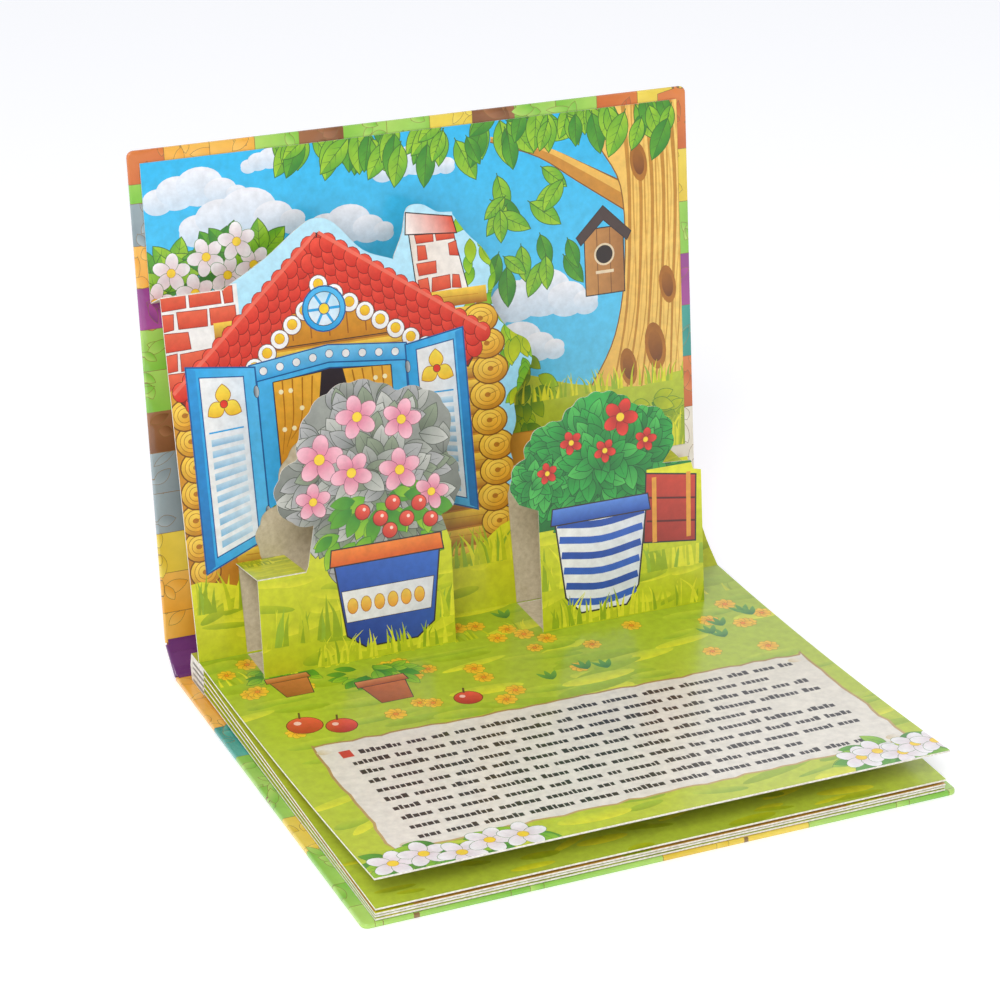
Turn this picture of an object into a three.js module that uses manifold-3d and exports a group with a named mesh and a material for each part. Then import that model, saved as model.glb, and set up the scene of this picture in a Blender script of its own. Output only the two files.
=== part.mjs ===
// A children's pop-up book standing open at its first spread: three boards hinged by their
// paper covering, a block of closed spreads, and the first spread's card, which is folded and
// die-cut into a floor, a house wall and two steps. Millimetres, +X along the gutter, +Y to the
// back, +Z up, origin at the centre of the footprint.
import * as THREE from 'three';
import Module from 'manifold-3d';
import { mergeVertices } from 'three/addons/utils/BufferGeometryUtils.js';

const wasm = await Module();
wasm.setup();

const DEG = Math.PI / 180;

// Boards
const COVER_WIDTH = 262;
const COVER_DEPTH = 217.6;
const BOARD = 2.2;
const CORNER_RADIUS = 3;
const SPINE_WIDTH = 15.9;
const HINGE_GAP = 0.15;
const COVER_LEAN = 7.86;
const OPENING = 90 + COVER_LEAN;
const SPINE_ANGLE = 90 - OPENING / 2;

// Cards and leaves
const CARD = 0.4;
const LEAF = 0.8;
const CLEAR = 0.3;
const CLEAR_FOLD = 1;
const CLEAR_ABOVE = 1;
const SHEET_HALF_WIDTH = 126;
const BLOCK_INSET = 0.5;
const BLOCK_HALF_WIDTH = SHEET_HALF_WIDTH - BLOCK_INSET;
const SKY_TOP_MARGIN = 5.4;

// The hinge line at the back cover's rear edge is y = 0 while the book is laid out; the group is
// moved so that the footprint's centre is the origin.
const HINGE_Z = BOARD;
const SPINE_TOP_Y = SPINE_WIDTH * Math.cos(SPINE_ANGLE * DEG);
const SPINE_TOP_Z = HINGE_Z + SPINE_WIDTH * Math.sin(SPINE_ANGLE * DEG);
const COVER_ANGLE = 90 - COVER_LEAN;
const REAR_REACH = SPINE_TOP_Y + COVER_DEPTH * Math.sin(COVER_LEAN * DEG)
  + BOARD * Math.cos(COVER_LEAN * DEG);
const LAYOUT_SHIFT = (COVER_DEPTH - REAR_REACH) / 2;

// Creases of the first spread, as [y, z] on the printed face
const GUTTER = [-18, 16.8];
const HOUSE_LEAN = 13.5;
const HOUSE_HEIGHT = 158.2;
const FLOOR_CURVE = [[-217, 21.4], [-190, 19.7], [-150, 17.8], [-110, 16.6], [-75, 16.2],
  [-45, 16.3], GUTTER];
const LEFT_STEP = { base: [-41.8, 16.3], lean: 8, height: 44, x: [-105, -16], rear: [-8.9, 56] };
const RIGHT_STEP = { base: [-48.3, 16.3], lean: 8, height: 62, x: [23, 103], ledge: [79, 99] };
const RIGHT_LEDGE_REAR_Z = 81.5;
const BACKING_TOP = 62;
const TOP_LEDGE_X = [-SHEET_HALF_WIDTH, -98];
const TOP_LEDGE_REAR_Z = 164;
const RIGHT_STRIP_X = 104;
const RIGHT_STRIP = [GUTTER, [-7, 24.5], [2.5, 34], [9.5, 45], [15.6, 58]];
const SKY_LOW_RISE = 51;
const SKYLINE_DROP = 21;

function solid(geometry) {
  const bare = geometry.clone();
  bare.deleteAttribute('normal');
  bare.deleteAttribute('uv');
  const merged = mergeVertices(bare, 1e-5);
  return new wasm.Manifold(new wasm.Mesh({
    numProp: 3,
    vertProperties: new Float32Array(merged.attributes.position.array),
    triVerts: new Uint32Array(merged.index.array),
  }));
}

function meshOf(name, body, color, roughness) {
  const data = body.getMesh();
  const geometry = new THREE.BufferGeometry();
  geometry.setAttribute('position', new THREE.BufferAttribute(data.vertProperties, 3));
  geometry.setIndex(new THREE.BufferAttribute(data.triVerts, 1));
  geometry.computeVertexNormals();
  const mesh = new THREE.Mesh(geometry, new THREE.MeshStandardMaterial({ color, roughness }));
  mesh.name = name;
  return mesh;
}

// A plane through the line y, z parallel to X, rising at an angle above +Y. Local x is X, local y
// runs up the plane, local z comes out of the printed face.
function plane([y, z], angle) {
  const up = new THREE.Vector3(0, Math.cos(angle * DEG), Math.sin(angle * DEG));
  const along = new THREE.Vector3(1, 0, 0);
  const out = new THREE.Vector3().crossVectors(along, up);
  return new THREE.Matrix4().makeBasis(along, up, out).setPosition(0, y, z);
}

// A flat card on a plane: its printed face lies in the plane and its thickness behind it.
function card(place, outline, thickness, front = 0) {
  const shape = outline instanceof THREE.Shape ? outline
    : new THREE.Shape(outline.map(([x, y]) => new THREE.Vector2(x, y)));
  const geometry = new THREE.ExtrudeGeometry(shape, { depth: thickness + front, bevelEnabled: false,
    curveSegments: 6 });
  geometry.translate(0, 0, -thickness);
  return solid(geometry.applyMatrix4(place));
}

function rectangle(x0, x1, y0, y1) {
  return [[x0, y0], [x1, y0], [x1, y1], [x0, y1]];
}

function disc(x, y, radius) {
  const shape = new THREE.Shape();
  shape.absarc(x, y, radius, 0, 2 * Math.PI, false);
  return shape;
}

// A board: square at the hinge edge, with rounded free corners.
function boardOutline(depth) {
  const half = COVER_WIDTH / 2;
  const shape = new THREE.Shape();
  shape.moveTo(-half, HINGE_GAP);
  shape.lineTo(half, HINGE_GAP);
  shape.lineTo(half, depth - CORNER_RADIUS);
  shape.absarc(half - CORNER_RADIUS, depth - CORNER_RADIUS, CORNER_RADIUS, 0, Math.PI / 2, false);
  shape.lineTo(-half + CORNER_RADIUS, depth);
  shape.absarc(-half + CORNER_RADIUS, depth - CORNER_RADIUS, CORNER_RADIUS, Math.PI / 2, Math.PI,
    false);
  shape.closePath();
  return shape;
}

// A card that follows a curve in the YZ plane: the path is its upper or front face, and the
// thickness lies to the right of the path's direction.
function ribbon(path, x0, x1, thickness) {
  const points = path.map(([y, z]) => new THREE.Vector2(y, z));
  const normals = points.slice(1).map((point, i) => {
    const run = point.clone().sub(points[i]).normalize();
    return new THREE.Vector2(run.y, -run.x);
  });
  const back = points.map((point, i) => {
    const before = normals[Math.max(i - 1, 0)];
    const after = normals[Math.min(i, normals.length - 1)];
    const mitre = before.clone().add(after).normalize();
    return point.clone().addScaledVector(mitre, thickness / mitre.dot(after));
  });
  const shape = new THREE.Shape([...points, ...back.reverse()]);
  const geometry = new THREE.ExtrudeGeometry(shape, { depth: x1 - x0, bevelEnabled: false });
  const toRow = new THREE.Matrix4().makeBasis(new THREE.Vector3(0, 1, 0),
    new THREE.Vector3(0, 0, 1), new THREE.Vector3(1, 0, 0)).setPosition(x0, 0, 0);
  return solid(geometry.applyMatrix4(toRow));
}

function rise([y, z], angle, distance) {
  return [y + distance * Math.cos(angle * DEG), z + distance * Math.sin(angle * DEG)];
}

function angleTo([y0, z0], [y1, z1]) {
  return Math.atan2(z1 - z0, y1 - y0) / DEG;
}

function spanTo([y0, z0], [y1, z1]) {
  return Math.hypot(z1 - z0, y1 - y0);
}

function coverFace(z, gap) {
  return SPINE_TOP_Y + (z - SPINE_TOP_Z) * Math.tan(COVER_LEAN * DEG) - gap;
}

// Outlines on the house wall: x along the gutter, y up from the gutter crease. The skyline runs
// from the bushes on the right over the chimney and the gable.
const HOUSE_RIGHT = 24;
const SKYLINE = [
  [36, 98], [41, 117], [28, 127], [23, 159], [9, 178], [-12, 183], [-20, 161], [-54, 183],
];
const HOUSE_OUTLINE = [
  [-SHEET_HALF_WIDTH, 0], [HOUSE_RIGHT, 0], [HOUSE_RIGHT, 50], [28, 62], [31, 82], ...SKYLINE,
  [TOP_LEDGE_X[1], HOUSE_HEIGHT], [-SHEET_HALF_WIDTH, HOUSE_HEIGHT],
];

// The pot plant stands up out of the left step, and the tub out of the right one: x along the
// gutter, y up from the step's own foot.
const PLANT_DISCS = [[-56, 96, 27], [-33, 98, 19], [-79, 79, 15], [-28, 74, 17], [-52, 66, 22]];
const PLANT_FOOT = [-82, -16];
const TUB_DISCS = [[54, 82, 22], [32, 80, 14], [22, 70, 11], [74, 80, 15]];
const TUB_FOOT = [14, 99];
const CRATE_WIDTH = 23;
const CRATE_BASE = 34;
const CRATE_RISE = 4;
const CRATE = rectangle(RIGHT_STEP.ledge[1] - CRATE_WIDTH, RIGHT_STEP.ledge[1], CRATE_BASE,
  RIGHT_STEP.height + CRATE_RISE);

function uprightCard(place, step, discs, foot, extra) {
  let body = card(place, rectangle(step.x[0], step.x[1], -CARD, step.height), CARD);
  for (const [x, y, radius] of discs) {
    body = body.add(card(place, disc(x, y, radius), CARD));
  }
  const shoulder = Math.min(...discs.map((d) => d[1]));
  body = body.add(card(place, rectangle(foot[0], foot[1], step.height - 1, shoulder - 12), CARD));
  return extra ? body.add(card(place, extra, CARD)) : body;
}

// The printed ply is missing wherever a step was folded out of it, and the plain ply behind it
// shows: under both steps, and on the wall in the shape of the plant.
function foldedOut(housePlane) {
  const sunk = (outline) => card(housePlane, outline, CARD, CLEAR_ABOVE);
  const [left, right] = LEFT_STEP.x;
  const seat = spanTo(GUTTER, LEFT_STEP.rear) - CLEAR_FOLD;
  const front = rise(LEFT_STEP.base, 90 - LEFT_STEP.lean, LEFT_STEP.height);
  const lowered = LEFT_STEP.height + spanTo(front, LEFT_STEP.rear) - spanTo(GUTTER, LEFT_STEP.rear);
  let cut = sunk(rectangle(left + CLEAR_FOLD, right - CLEAR_FOLD, CLEAR_FOLD, seat));
  cut = cut.add(sunk(rectangle(PLANT_FOOT[0], PLANT_FOOT[1], seat - CLEAR_FOLD,
    PLANT_DISCS[0][1] - lowered)));
  for (const [x, y, radius] of PLANT_DISCS) {
    cut = cut.add(sunk(disc(x, y - lowered, radius)));
  }
  for (const { base, x } of [LEFT_STEP, RIGHT_STEP]) {
    const near = base[0] + CLEAR_FOLD;
    const path = [[near, base[1]], ...FLOOR_CURVE.filter(([y]) => y > near), GUTTER]
      .filter((point, i, all) => i === 0 || point[0] > all[i - 1][0]);
    const raised = path.map(([y, z]) => [y, z + CLEAR_ABOVE]);
    cut = cut.add(ribbon(raised, x[0] + CLEAR_FOLD, x[1] - CLEAR_FOLD, CLEAR_ABOVE + CARD));
  }
  return cut;
}

function openSpread() {
  const housePlane = plane(GUTTER, 90 - HOUSE_LEAN);
  let body = ribbon([...FLOOR_CURVE.slice(0, -1), GUTTER, [GUTTER[0] + LEAF, GUTTER[1]]],
    -SHEET_HALF_WIDTH, SHEET_HALF_WIDTH, LEAF);
  body = body.add(card(housePlane, HOUSE_OUTLINE.map(([x, y]) => [x, y || -CARD]), LEAF));
  body = body.add(card(housePlane,
    rectangle(HOUSE_RIGHT - CLEAR_FOLD, RIGHT_STRIP_X - CLEAR_FOLD, -CARD, BACKING_TOP), LEAF, -CARD));
  body = body.subtract(foldedOut(housePlane));
  body = body.add(ribbon(RIGHT_STRIP, RIGHT_STRIP_X, SHEET_HALF_WIDTH, CARD));

  const ledgeFront = rise(GUTTER, 90 - HOUSE_LEAN, HOUSE_HEIGHT);
  const ledgeRear = [coverFace(TOP_LEDGE_REAR_Z, CARD + 2 * CLEAR), TOP_LEDGE_REAR_Z];
  const topLedge = plane(ledgeFront, angleTo(ledgeFront, ledgeRear));
  body = body.add(card(topLedge,
    rectangle(TOP_LEDGE_X[0], TOP_LEDGE_X[1], 0, spanTo(ledgeFront, ledgeRear)), CARD));

  const left = plane(LEFT_STEP.base, 90 - LEFT_STEP.lean);
  body = body.add(uprightCard(left, LEFT_STEP, PLANT_DISCS, PLANT_FOOT));
  const leftFront = rise(LEFT_STEP.base, 90 - LEFT_STEP.lean, LEFT_STEP.height);
  const leftTop = plane(leftFront, angleTo(leftFront, LEFT_STEP.rear));
  const leftDepth = spanTo(leftFront, LEFT_STEP.rear);
  body = body.add(card(leftTop,
    rectangle(LEFT_STEP.x[0], PLANT_FOOT[0] - CLEAR_FOLD, 0, leftDepth + CARD), CARD));

  const right = plane(RIGHT_STEP.base, 90 - RIGHT_STEP.lean);
  body = body.add(uprightCard(right, RIGHT_STEP, TUB_DISCS, TUB_FOOT, CRATE));
  const rightFront = rise(RIGHT_STEP.base, 90 - RIGHT_STEP.lean, RIGHT_STEP.height);
  const rightRear = [coverFace(RIGHT_LEDGE_REAR_Z, CARD + 2 * CLEAR), RIGHT_LEDGE_REAR_Z];
  const rightTop = plane(rightFront, angleTo(rightFront, rightRear));
  body = body.add(card(rightTop, rectangle(RIGHT_STEP.ledge[0], RIGHT_STEP.ledge[1], 0,
    spanTo(rightFront, rightRear)), CARD));
  return body;
}

// The upper half of the first sheet, glued to the front cover, cut away where the house wall and
// the right step were folded out of it. x along the cover, y up from the cover's hinge.
function skyPage() {
  const upCover = (z) => (z - SPINE_TOP_Z) / Math.cos(COVER_LEAN * DEG);
  const top = COVER_DEPTH - SKY_TOP_MARGIN;
  const ledge = upCover(TOP_LEDGE_REAR_Z);
  const rightLedge = upCover(RIGHT_LEDGE_REAR_Z);
  const half = SHEET_HALF_WIDTH;
  const lowered = SKYLINE.map(([x, y]) => [x, y - SKYLINE_DROP]).reverse();
  const outline = [
    [-half, top], [-half, ledge], [TOP_LEDGE_X[1], ledge], ...lowered,
    [SKYLINE[0][0], rightLedge], [RIGHT_STEP.x[1], rightLedge], [RIGHT_STEP.x[1], SKY_LOW_RISE],
    [half, SKY_LOW_RISE], [half, top],
  ];
  const face = plane([SPINE_TOP_Y, SPINE_TOP_Z], COVER_ANGLE);
  const lifted = face.clone().multiply(new THREE.Matrix4().makeTranslation(0, 0, CARD + CLEAR));
  return card(lifted, outline, CARD);
}

// Closed spreads: leaves joined at their gutters, with the second spread's folded card between
// its two leaves. Each path is [y, z] of a leaf's upper face.
const BLOCK_REAR = -6;
const BLOCK_ROUND = 1.5;
const FORE_EDGE = -216.6;
const STACK_FRONT = -22;
const STACK_TOP = GUTTER[1] - LEAF - 2 * CLEAR;
const FOLD_SIDE = 3.5;
const LONG_FOLD = { front: -138, rear: -44, right: 96 };
const SHORT_FOLD = { front: -108, rear: -66, right: 40 };
const LEAVES = [
  [[FORE_EDGE, 3.3], [-120, 3.4], [-30, 4.2], [BLOCK_REAR, 4.2]],
  [[FORE_EDGE + 0.3, 4.5], [-120, 5.6], [-30, 7], [BLOCK_REAR, 7]],
  [[FORE_EDGE + 0.1, 5.7], [-120, 7.8], [-30, 9.8], [BLOCK_REAR, 9.8]],
  [[FORE_EDGE - 0.2, 7.9], [-150, 8.9], [-60, 11.4], [-30, 12.4], [BLOCK_REAR, 12.4]],
];
const FOLDED_CARDS = [
  { path: [[STACK_FRONT + 2, 12.6], [LONG_FOLD.front, 11.1], [LONG_FOLD.rear, 14.7]],
    x: [-BLOCK_HALF_WIDTH + FOLD_SIDE, LONG_FOLD.right] },
  { path: [[-54, 12.3], [SHORT_FOLD.front, 12.2], [SHORT_FOLD.rear, 13]],
    x: [-BLOCK_HALF_WIDTH + 2 * FOLD_SIDE, SHORT_FOLD.right] },
];

function pageBlock() {
  const half = BLOCK_HALF_WIDTH;
  const foot = HINGE_Z + CLEAR;
  const rear = [[STACK_FRONT, foot], [BLOCK_REAR, foot],
    [BLOCK_REAR + BLOCK_ROUND, (foot + STACK_TOP) / 2], [BLOCK_REAR, STACK_TOP],
    [STACK_FRONT, STACK_TOP]].reverse();
  const shape = new THREE.Shape(rear.map(([y, z]) => new THREE.Vector2(y, z)));
  const geometry = new THREE.ExtrudeGeometry(shape, { depth: 2 * half, bevelEnabled: false });
  const toRow = new THREE.Matrix4().makeBasis(new THREE.Vector3(0, 1, 0),
    new THREE.Vector3(0, 0, 1), new THREE.Vector3(1, 0, 0)).setPosition(-half, 0, 0);
  let body = solid(geometry.applyMatrix4(toRow));
  for (const path of LEAVES) {
    body = body.add(ribbon(path, -half, half, LEAF));
  }
  for (const folded of FOLDED_CARDS) {
    body = body.add(ribbon(folded.path, folded.x[0], folded.x[1], CARD));
  }
  return body;
}

const backPlane = plane([0, HINGE_Z], 180);
const spinePlane = plane([0, HINGE_Z], SPINE_ANGLE);
const coverPlane = plane([SPINE_TOP_Y, SPINE_TOP_Z], COVER_ANGLE);

const book = new THREE.Group();
book.position.set(0, LAYOUT_SHIFT, 0);
// On the back cover's plane the local +Z points down, so its board lies in front of it.
const backBoard = card(backPlane, boardOutline(COVER_DEPTH), 0, BOARD);
const spineBoard = card(spinePlane, rectangle(-COVER_WIDTH / 2, COVER_WIDTH / 2, HINGE_GAP,
  SPINE_WIDTH - HINGE_GAP), BOARD);
const frontBoard = card(coverPlane, boardOutline(COVER_DEPTH), BOARD);
book.add(meshOf('back_cover', backBoard, 0xd98a1e, 0.4));
book.add(meshOf('spine', spineBoard, 0x7a3572, 0.4));
book.add(meshOf('front_cover', frontBoard, 0xd98a1e, 0.4));
book.add(meshOf('sky_page', skyPage(), 0x55c7f2, 0.35));
book.add(meshOf('open_spread', openSpread(), 0xb9cc38, 0.35));
book.add(meshOf('page_block', pageBlock(), 0xe8e2d2, 0.6));

export default book;
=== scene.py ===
"""A children's pop-up book standing open at its first spread: laminated boards, varnished and
die-cut card, and the closed spreads underneath.

Every printed card is laid out flat in millimetres, like a printer's sheet: its picture is a stack
of filled outlines, the topmost of which shows. The flat card is then carried to its place in the
book. Lengths are millimetres until they become metres in the meshes."""

import math

import bpy
import numpy as np
from mathutils import Matrix, Vector
from mathutils.geometry import delaunay_2d_cdt


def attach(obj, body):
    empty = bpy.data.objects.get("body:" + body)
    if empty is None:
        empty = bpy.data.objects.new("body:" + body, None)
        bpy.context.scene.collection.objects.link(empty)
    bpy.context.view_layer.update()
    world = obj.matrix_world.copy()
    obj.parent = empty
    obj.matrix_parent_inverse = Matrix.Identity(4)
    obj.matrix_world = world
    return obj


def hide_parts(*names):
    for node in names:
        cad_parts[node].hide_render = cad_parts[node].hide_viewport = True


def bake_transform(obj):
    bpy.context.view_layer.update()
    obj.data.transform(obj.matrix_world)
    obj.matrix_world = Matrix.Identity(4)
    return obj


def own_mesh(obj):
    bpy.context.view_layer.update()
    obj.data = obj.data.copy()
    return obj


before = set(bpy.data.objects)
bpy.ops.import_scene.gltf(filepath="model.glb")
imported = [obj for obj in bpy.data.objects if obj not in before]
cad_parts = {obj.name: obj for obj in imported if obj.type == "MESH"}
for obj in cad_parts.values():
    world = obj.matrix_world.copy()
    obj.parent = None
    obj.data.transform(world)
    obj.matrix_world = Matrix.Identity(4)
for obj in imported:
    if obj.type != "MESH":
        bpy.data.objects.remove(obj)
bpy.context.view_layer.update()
scene = bpy.context.scene
MM = 0.001

# The book's driving sizes, as in the model; LEAN and the other angles are in degrees
COVER_WIDTH = 262.0
COVER_DEPTH = 217.6
BOARD = 2.2
SPINE_WIDTH = 15.9
HINGE_GAP = 0.15
LEAN = 7.86
SPINE_ANGLE = 90 - (90 + LEAN) / 2
CARD = 0.4
LEAF = 0.8
HALF_SHEET = 126.0
HALF_BLOCK = 125.5


def rise(start, angle, distance):
    """The [y, z] point at a distance from start, along an angle in degrees above +Y."""
    turn = math.radians(angle)
    return (start[0] + distance * math.cos(turn), start[1] + distance * math.sin(turn))


HINGE = (0.0, BOARD)
SPINE_TOP = rise(HINGE, SPINE_ANGLE, SPINE_WIDTH)
REACH = (SPINE_TOP[0] + COVER_DEPTH * math.sin(math.radians(LEAN))
         + BOARD * math.cos(math.radians(LEAN)))
SHIFT = (COVER_DEPTH - REACH) / 2
GUTTER = (-18.0, 16.8)
HOUSE_ANGLE = 76.5
HOUSE_HEIGHT = 158.2
STEP_ANGLE = 82.0
LEFT_BASE, LEFT_HEIGHT, LEFT_REAR = (-41.8, 16.3), 44.0, (-8.9, 56.0)
RIGHT_BASE, RIGHT_HEIGHT = (-48.3, 16.3), 62.0


def linear(code):
    """A hex sRGB colour as linear RGB."""
    parts = np.array([int(code[i:i + 2], 16) for i in (1, 3, 5)]) / 255
    return np.where(parts <= 0.04045, parts / 12.92, ((parts + 0.055) / 1.055) ** 2.4)


def node(tree, kind, links=None, **settings):
    """Adds a node to a material, with its settings, and links its inputs from other sockets."""
    made = tree.nodes.new(kind)
    for key, value in settings.items():
        if key in made.inputs:
            made.inputs[key].default_value = value
        else:
            setattr(made, key.lower(), value)
    for key, source in (links or {}).items():
        tree.links.new(source, made.inputs[key])
    return made


def blank_material(name, slot_colour, **even):
    """A new material with its shader's even settings and the colour that the viewport shows. Also gives
    the place on the object, in metres, for its patterns."""
    material = bpy.data.materials.new(name)
    material.use_nodes = True
    material.diffuse_color = (*linear(slot_colour), 1)
    tree = material.node_tree
    shader = tree.nodes["Principled BSDF"]
    for key, value in even.items():
        shader.inputs[key.replace("_", " ")].default_value = value
    return material, tree, shader, node(tree, "ShaderNodeTexCoord").outputs["Object"]


def add_relief(tree, shader, noise, strength, distance):
    """Raises a surface by a noise's value, over a distance in metres."""
    bump = node(tree, "ShaderNodeBump", {"Height": noise.outputs["Fac"]}, Strength=strength,
                Distance=distance)
    tree.links.new(bump.outputs["Normal"], shader.inputs["Normal"])


def print_on(tree, shader, place, low, high, **noise):
    """Shows the card's printed colours, between low and high times as bright by a noise: uneven ink."""
    ink = node(tree, "ShaderNodeVertexColor", layer_name="print").outputs["Color"]
    brush = node(tree, "ShaderNodeTexNoise", {"Vector": place}, **noise)
    tone = node(tree, "ShaderNodeMapRange", {"Value": brush.outputs["Fac"]},
                **{"From Min": 0.3, "From Max": 0.7, "To Min": low, "To Max": high})
    shaded = node(tree, "ShaderNodeVectorMath", {0: ink, "Scale": tone.outputs["Result"]}, operation="SCALE")
    tree.links.new(shaded.outputs["Vector"], shader.inputs["Base Color"])


def fibrous(tree, shader, place, dark, light, **noise):
    """Colours a surface from dark to light, each a (place on the ramp, colour), by fine wood fibres."""
    fibre = node(tree, "ShaderNodeTexNoise", {"Vector": place}, **noise)
    ramp = node(tree, "ShaderNodeValToRGB", {"Fac": fibre.outputs["Fac"]})
    for stop, (position, colour) in zip(ramp.color_ramp.elements, (dark, light)):
        stop.position = position
        stop.color = (*linear(colour), 1)
    tree.links.new(ramp.outputs["Color"], shader.inputs["Base Color"])
    return fibre


def varnished_print():
    """Offset litho on coated card under a gloss varnish: full colours, a slightly uneven gloss,
    and the low waves of thin card that break up a reflection."""
    material, tree, shader, place = blank_material("varnished_offset_print", "#b9cc38", Coat_Weight=0.45,
                                                   Coat_Roughness=0.16)
    print_on(tree, shader, place, 0.9, 1.09, Scale=260.0, Detail=3.0, Roughness=0.6)
    gloss = node(tree, "ShaderNodeTexNoise", {"Vector": place}, Scale=900.0, Detail=2.0)
    rough = node(tree, "ShaderNodeMapRange", {"Value": gloss.outputs["Fac"]},
                 **{"To Min": 0.3, "To Max": 0.42})
    tree.links.new(rough.outputs["Result"], shader.inputs["Roughness"])
    wave = node(tree, "ShaderNodeTexNoise", {"Vector": place}, Scale=28.0, Detail=2.0)
    add_relief(tree, shader, wave, 0.18, 0.002)
    return material


def laminated_print():
    """Printed paper under gloss film, drawn round grey board: a smoother and harder gloss than
    the varnished card."""
    material, tree, shader, place = blank_material("laminated_cover_paper", "#d98a1e", Roughness=0.26,
                                                   Coat_Weight=0.6, Coat_Roughness=0.1)
    print_on(tree, shader, place, 0.96, 1.04, Scale=180.0, Detail=4.0)
    peel = node(tree, "ShaderNodeTexNoise", {"Vector": place}, Scale=500.0, Detail=1.0)
    add_relief(tree, shader, peel, 0.08, 0.0005)
    return material


def card_reverse():
    """The uncoated back of folding boxboard: matt, beige-grey, with short wood fibres."""
    material, tree, shader, place = blank_material("uncoated_boxboard", "#c3b79f", Roughness=0.85)
    fibre = fibrous(tree, shader, place, (0.32, "#c4b596"), (0.68, "#dccfb4"), Scale=420.0, Detail=5.0,
                    Roughness=0.7)
    add_relief(tree, shader, fibre, 0.12, 0.0004)
    return material


def cut_edge():
    """The cut edge of white-cored card: matt, slightly fibrous white."""
    material, tree, shader, place = blank_material("white_cut_card_edge", "#f2eee2", Roughness=0.8)
    fibrous(tree, shader, place, (0.35, "#dcd5c6"), (0.6, "#f4f0e6"), Scale=700.0, Detail=3.0)
    return material


PRINT, COVER_PRINT = varnished_print(), laminated_print()
REVERSE, EDGE = card_reverse(), cut_edge()

# Outlines: closed runs of points in millimetres on a flat card
LINE = "#2f2a2a"


def heading(degrees):
    """The unit vector at an angle above +X."""
    return np.array([math.cos(math.radians(degrees)), math.sin(math.radians(degrees))])


def turned(x, y, u, v, degrees):
    """Points (u, v) turned by degrees about (0, 0) and moved to (x, y)."""
    c, s = heading(degrees)
    return np.stack([x + u * c - v * s, y + u * s + v * c], 1)


def ring(x, y, rx, ry=None, turn=0.0, count=22):
    """An ellipse, turned by degrees."""
    t = np.linspace(0, 2 * np.pi, count, endpoint=False)
    return turned(x, y, rx * np.cos(t), (rx if ry is None else ry) * np.sin(t), turn)


def box(x0, y0, x1, y1):
    """A rectangle between two corners."""
    return np.array([[x0, y0], [x1, y0], [x1, y1], [x0, y1]], float)


def curve(points, closed=True, per=5):
    """A Catmull-Rom curve through points, with a few steps between each two."""
    p = np.asarray(points, float)
    if closed:
        p = np.concatenate([p[-1:], p, p[:2]])
    else:
        p = np.concatenate([2 * p[:1] - p[1:2], p, 2 * p[-1:] - p[-2:-1]])
    t = np.linspace(0, 1, per, endpoint=False)[None, :, None]
    a, b, c, d = p[:-3, None], p[1:-2, None], p[2:-1, None], p[3:, None]
    run = 0.5 * (2 * b + (c - a) * t + (2 * a - 5 * b + 4 * c - d) * t ** 2
                 + (3 * b - a - 3 * c + d) * t ** 3)
    out = run.reshape(-1, 2)
    return out if closed else np.concatenate([out, p[-2:-1]])


def band(points, width, tip=None, per=4):
    """A brush stroke: a strip round an open curve, from one width to another."""
    mid = curve(points, False, per) if len(points) > 2 else np.asarray(points, float)
    way = np.gradient(mid, axis=0)
    way /= np.linalg.norm(way, axis=1)[:, None] + 1e-9
    side = np.stack([-way[:, 1], way[:, 0]], 1)
    half = np.linspace(width, width if tip is None else tip, len(mid))[:, None] / 2
    return np.concatenate([mid + side * half, (mid - side * half)[::-1]])


def leaf(x, y, length, width, turn):
    """A pointed leaf from its stalk: half-width = width/2 * sin(pi t)^0.8 * (1.15 - 0.3 t)."""
    t = np.linspace(0, 1, 9)
    half = width / 2 * np.sin(np.pi * t) ** 0.8 * (1.15 - 0.3 * t)
    u = np.concatenate([t, t[-2:0:-1]]) * length
    return turned(x, y, u, np.concatenate([half, -half[-2:0:-1]]), turn)


def grown(points, by):
    """The outline moved outwards by a distance, along the mean of each corner's two normals."""
    p = np.asarray(points, float)
    ahead = np.roll(p, -1, 0) - p
    area = np.sum(p[:, 0] * np.roll(p[:, 1], -1) - np.roll(p[:, 0], -1) * p[:, 1])
    normal = np.stack([ahead[:, 1], -ahead[:, 0]], 1) * (1 if area > 0 else -1)
    normal /= np.linalg.norm(normal, axis=1)[:, None] + 1e-9
    mean = normal + np.roll(normal, 1, 0)
    mean /= np.linalg.norm(mean, axis=1)[:, None] + 1e-9
    reach = by / np.clip(np.sum(mean * normal, 1), 0.5, 1)
    return p + mean * reach[:, None]


def dense(points, step):
    """The outline with points added so that no side is longer than a step."""
    p = np.asarray(points, float)
    runs = []
    for a, b in zip(p, np.roll(p, -1, 0)):
        count = max(int(np.ceil(np.linalg.norm(b - a) / step)), 1)
        runs.append(a + (b - a) * np.arange(count)[:, None] / count)
    return np.concatenate(runs)


class Picture:
    """What is printed on one card: filled outlines laid over a ground, the last one on top."""

    def __init__(self, ground, far=None, turn=90):
        self.fills = [(linear(ground), linear(far or ground), turn)]
        self.outlines = [None]

    def lay(self, points, fill, far=None, turn=90, line=0.0, ink=LINE):
        """Lays an outline in a colour that runs to another one along an angle."""
        if line:
            self.lay(grown(points, line), ink)
        self.outlines.append(np.asarray(points, float))
        self.fills.append((linear(fill), linear(far or fill), turn))

    def stroke(self, points, width, ink, tip=None):
        """Lays a brush stroke."""
        self.lay(band(points, width, tip), ink)


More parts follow.
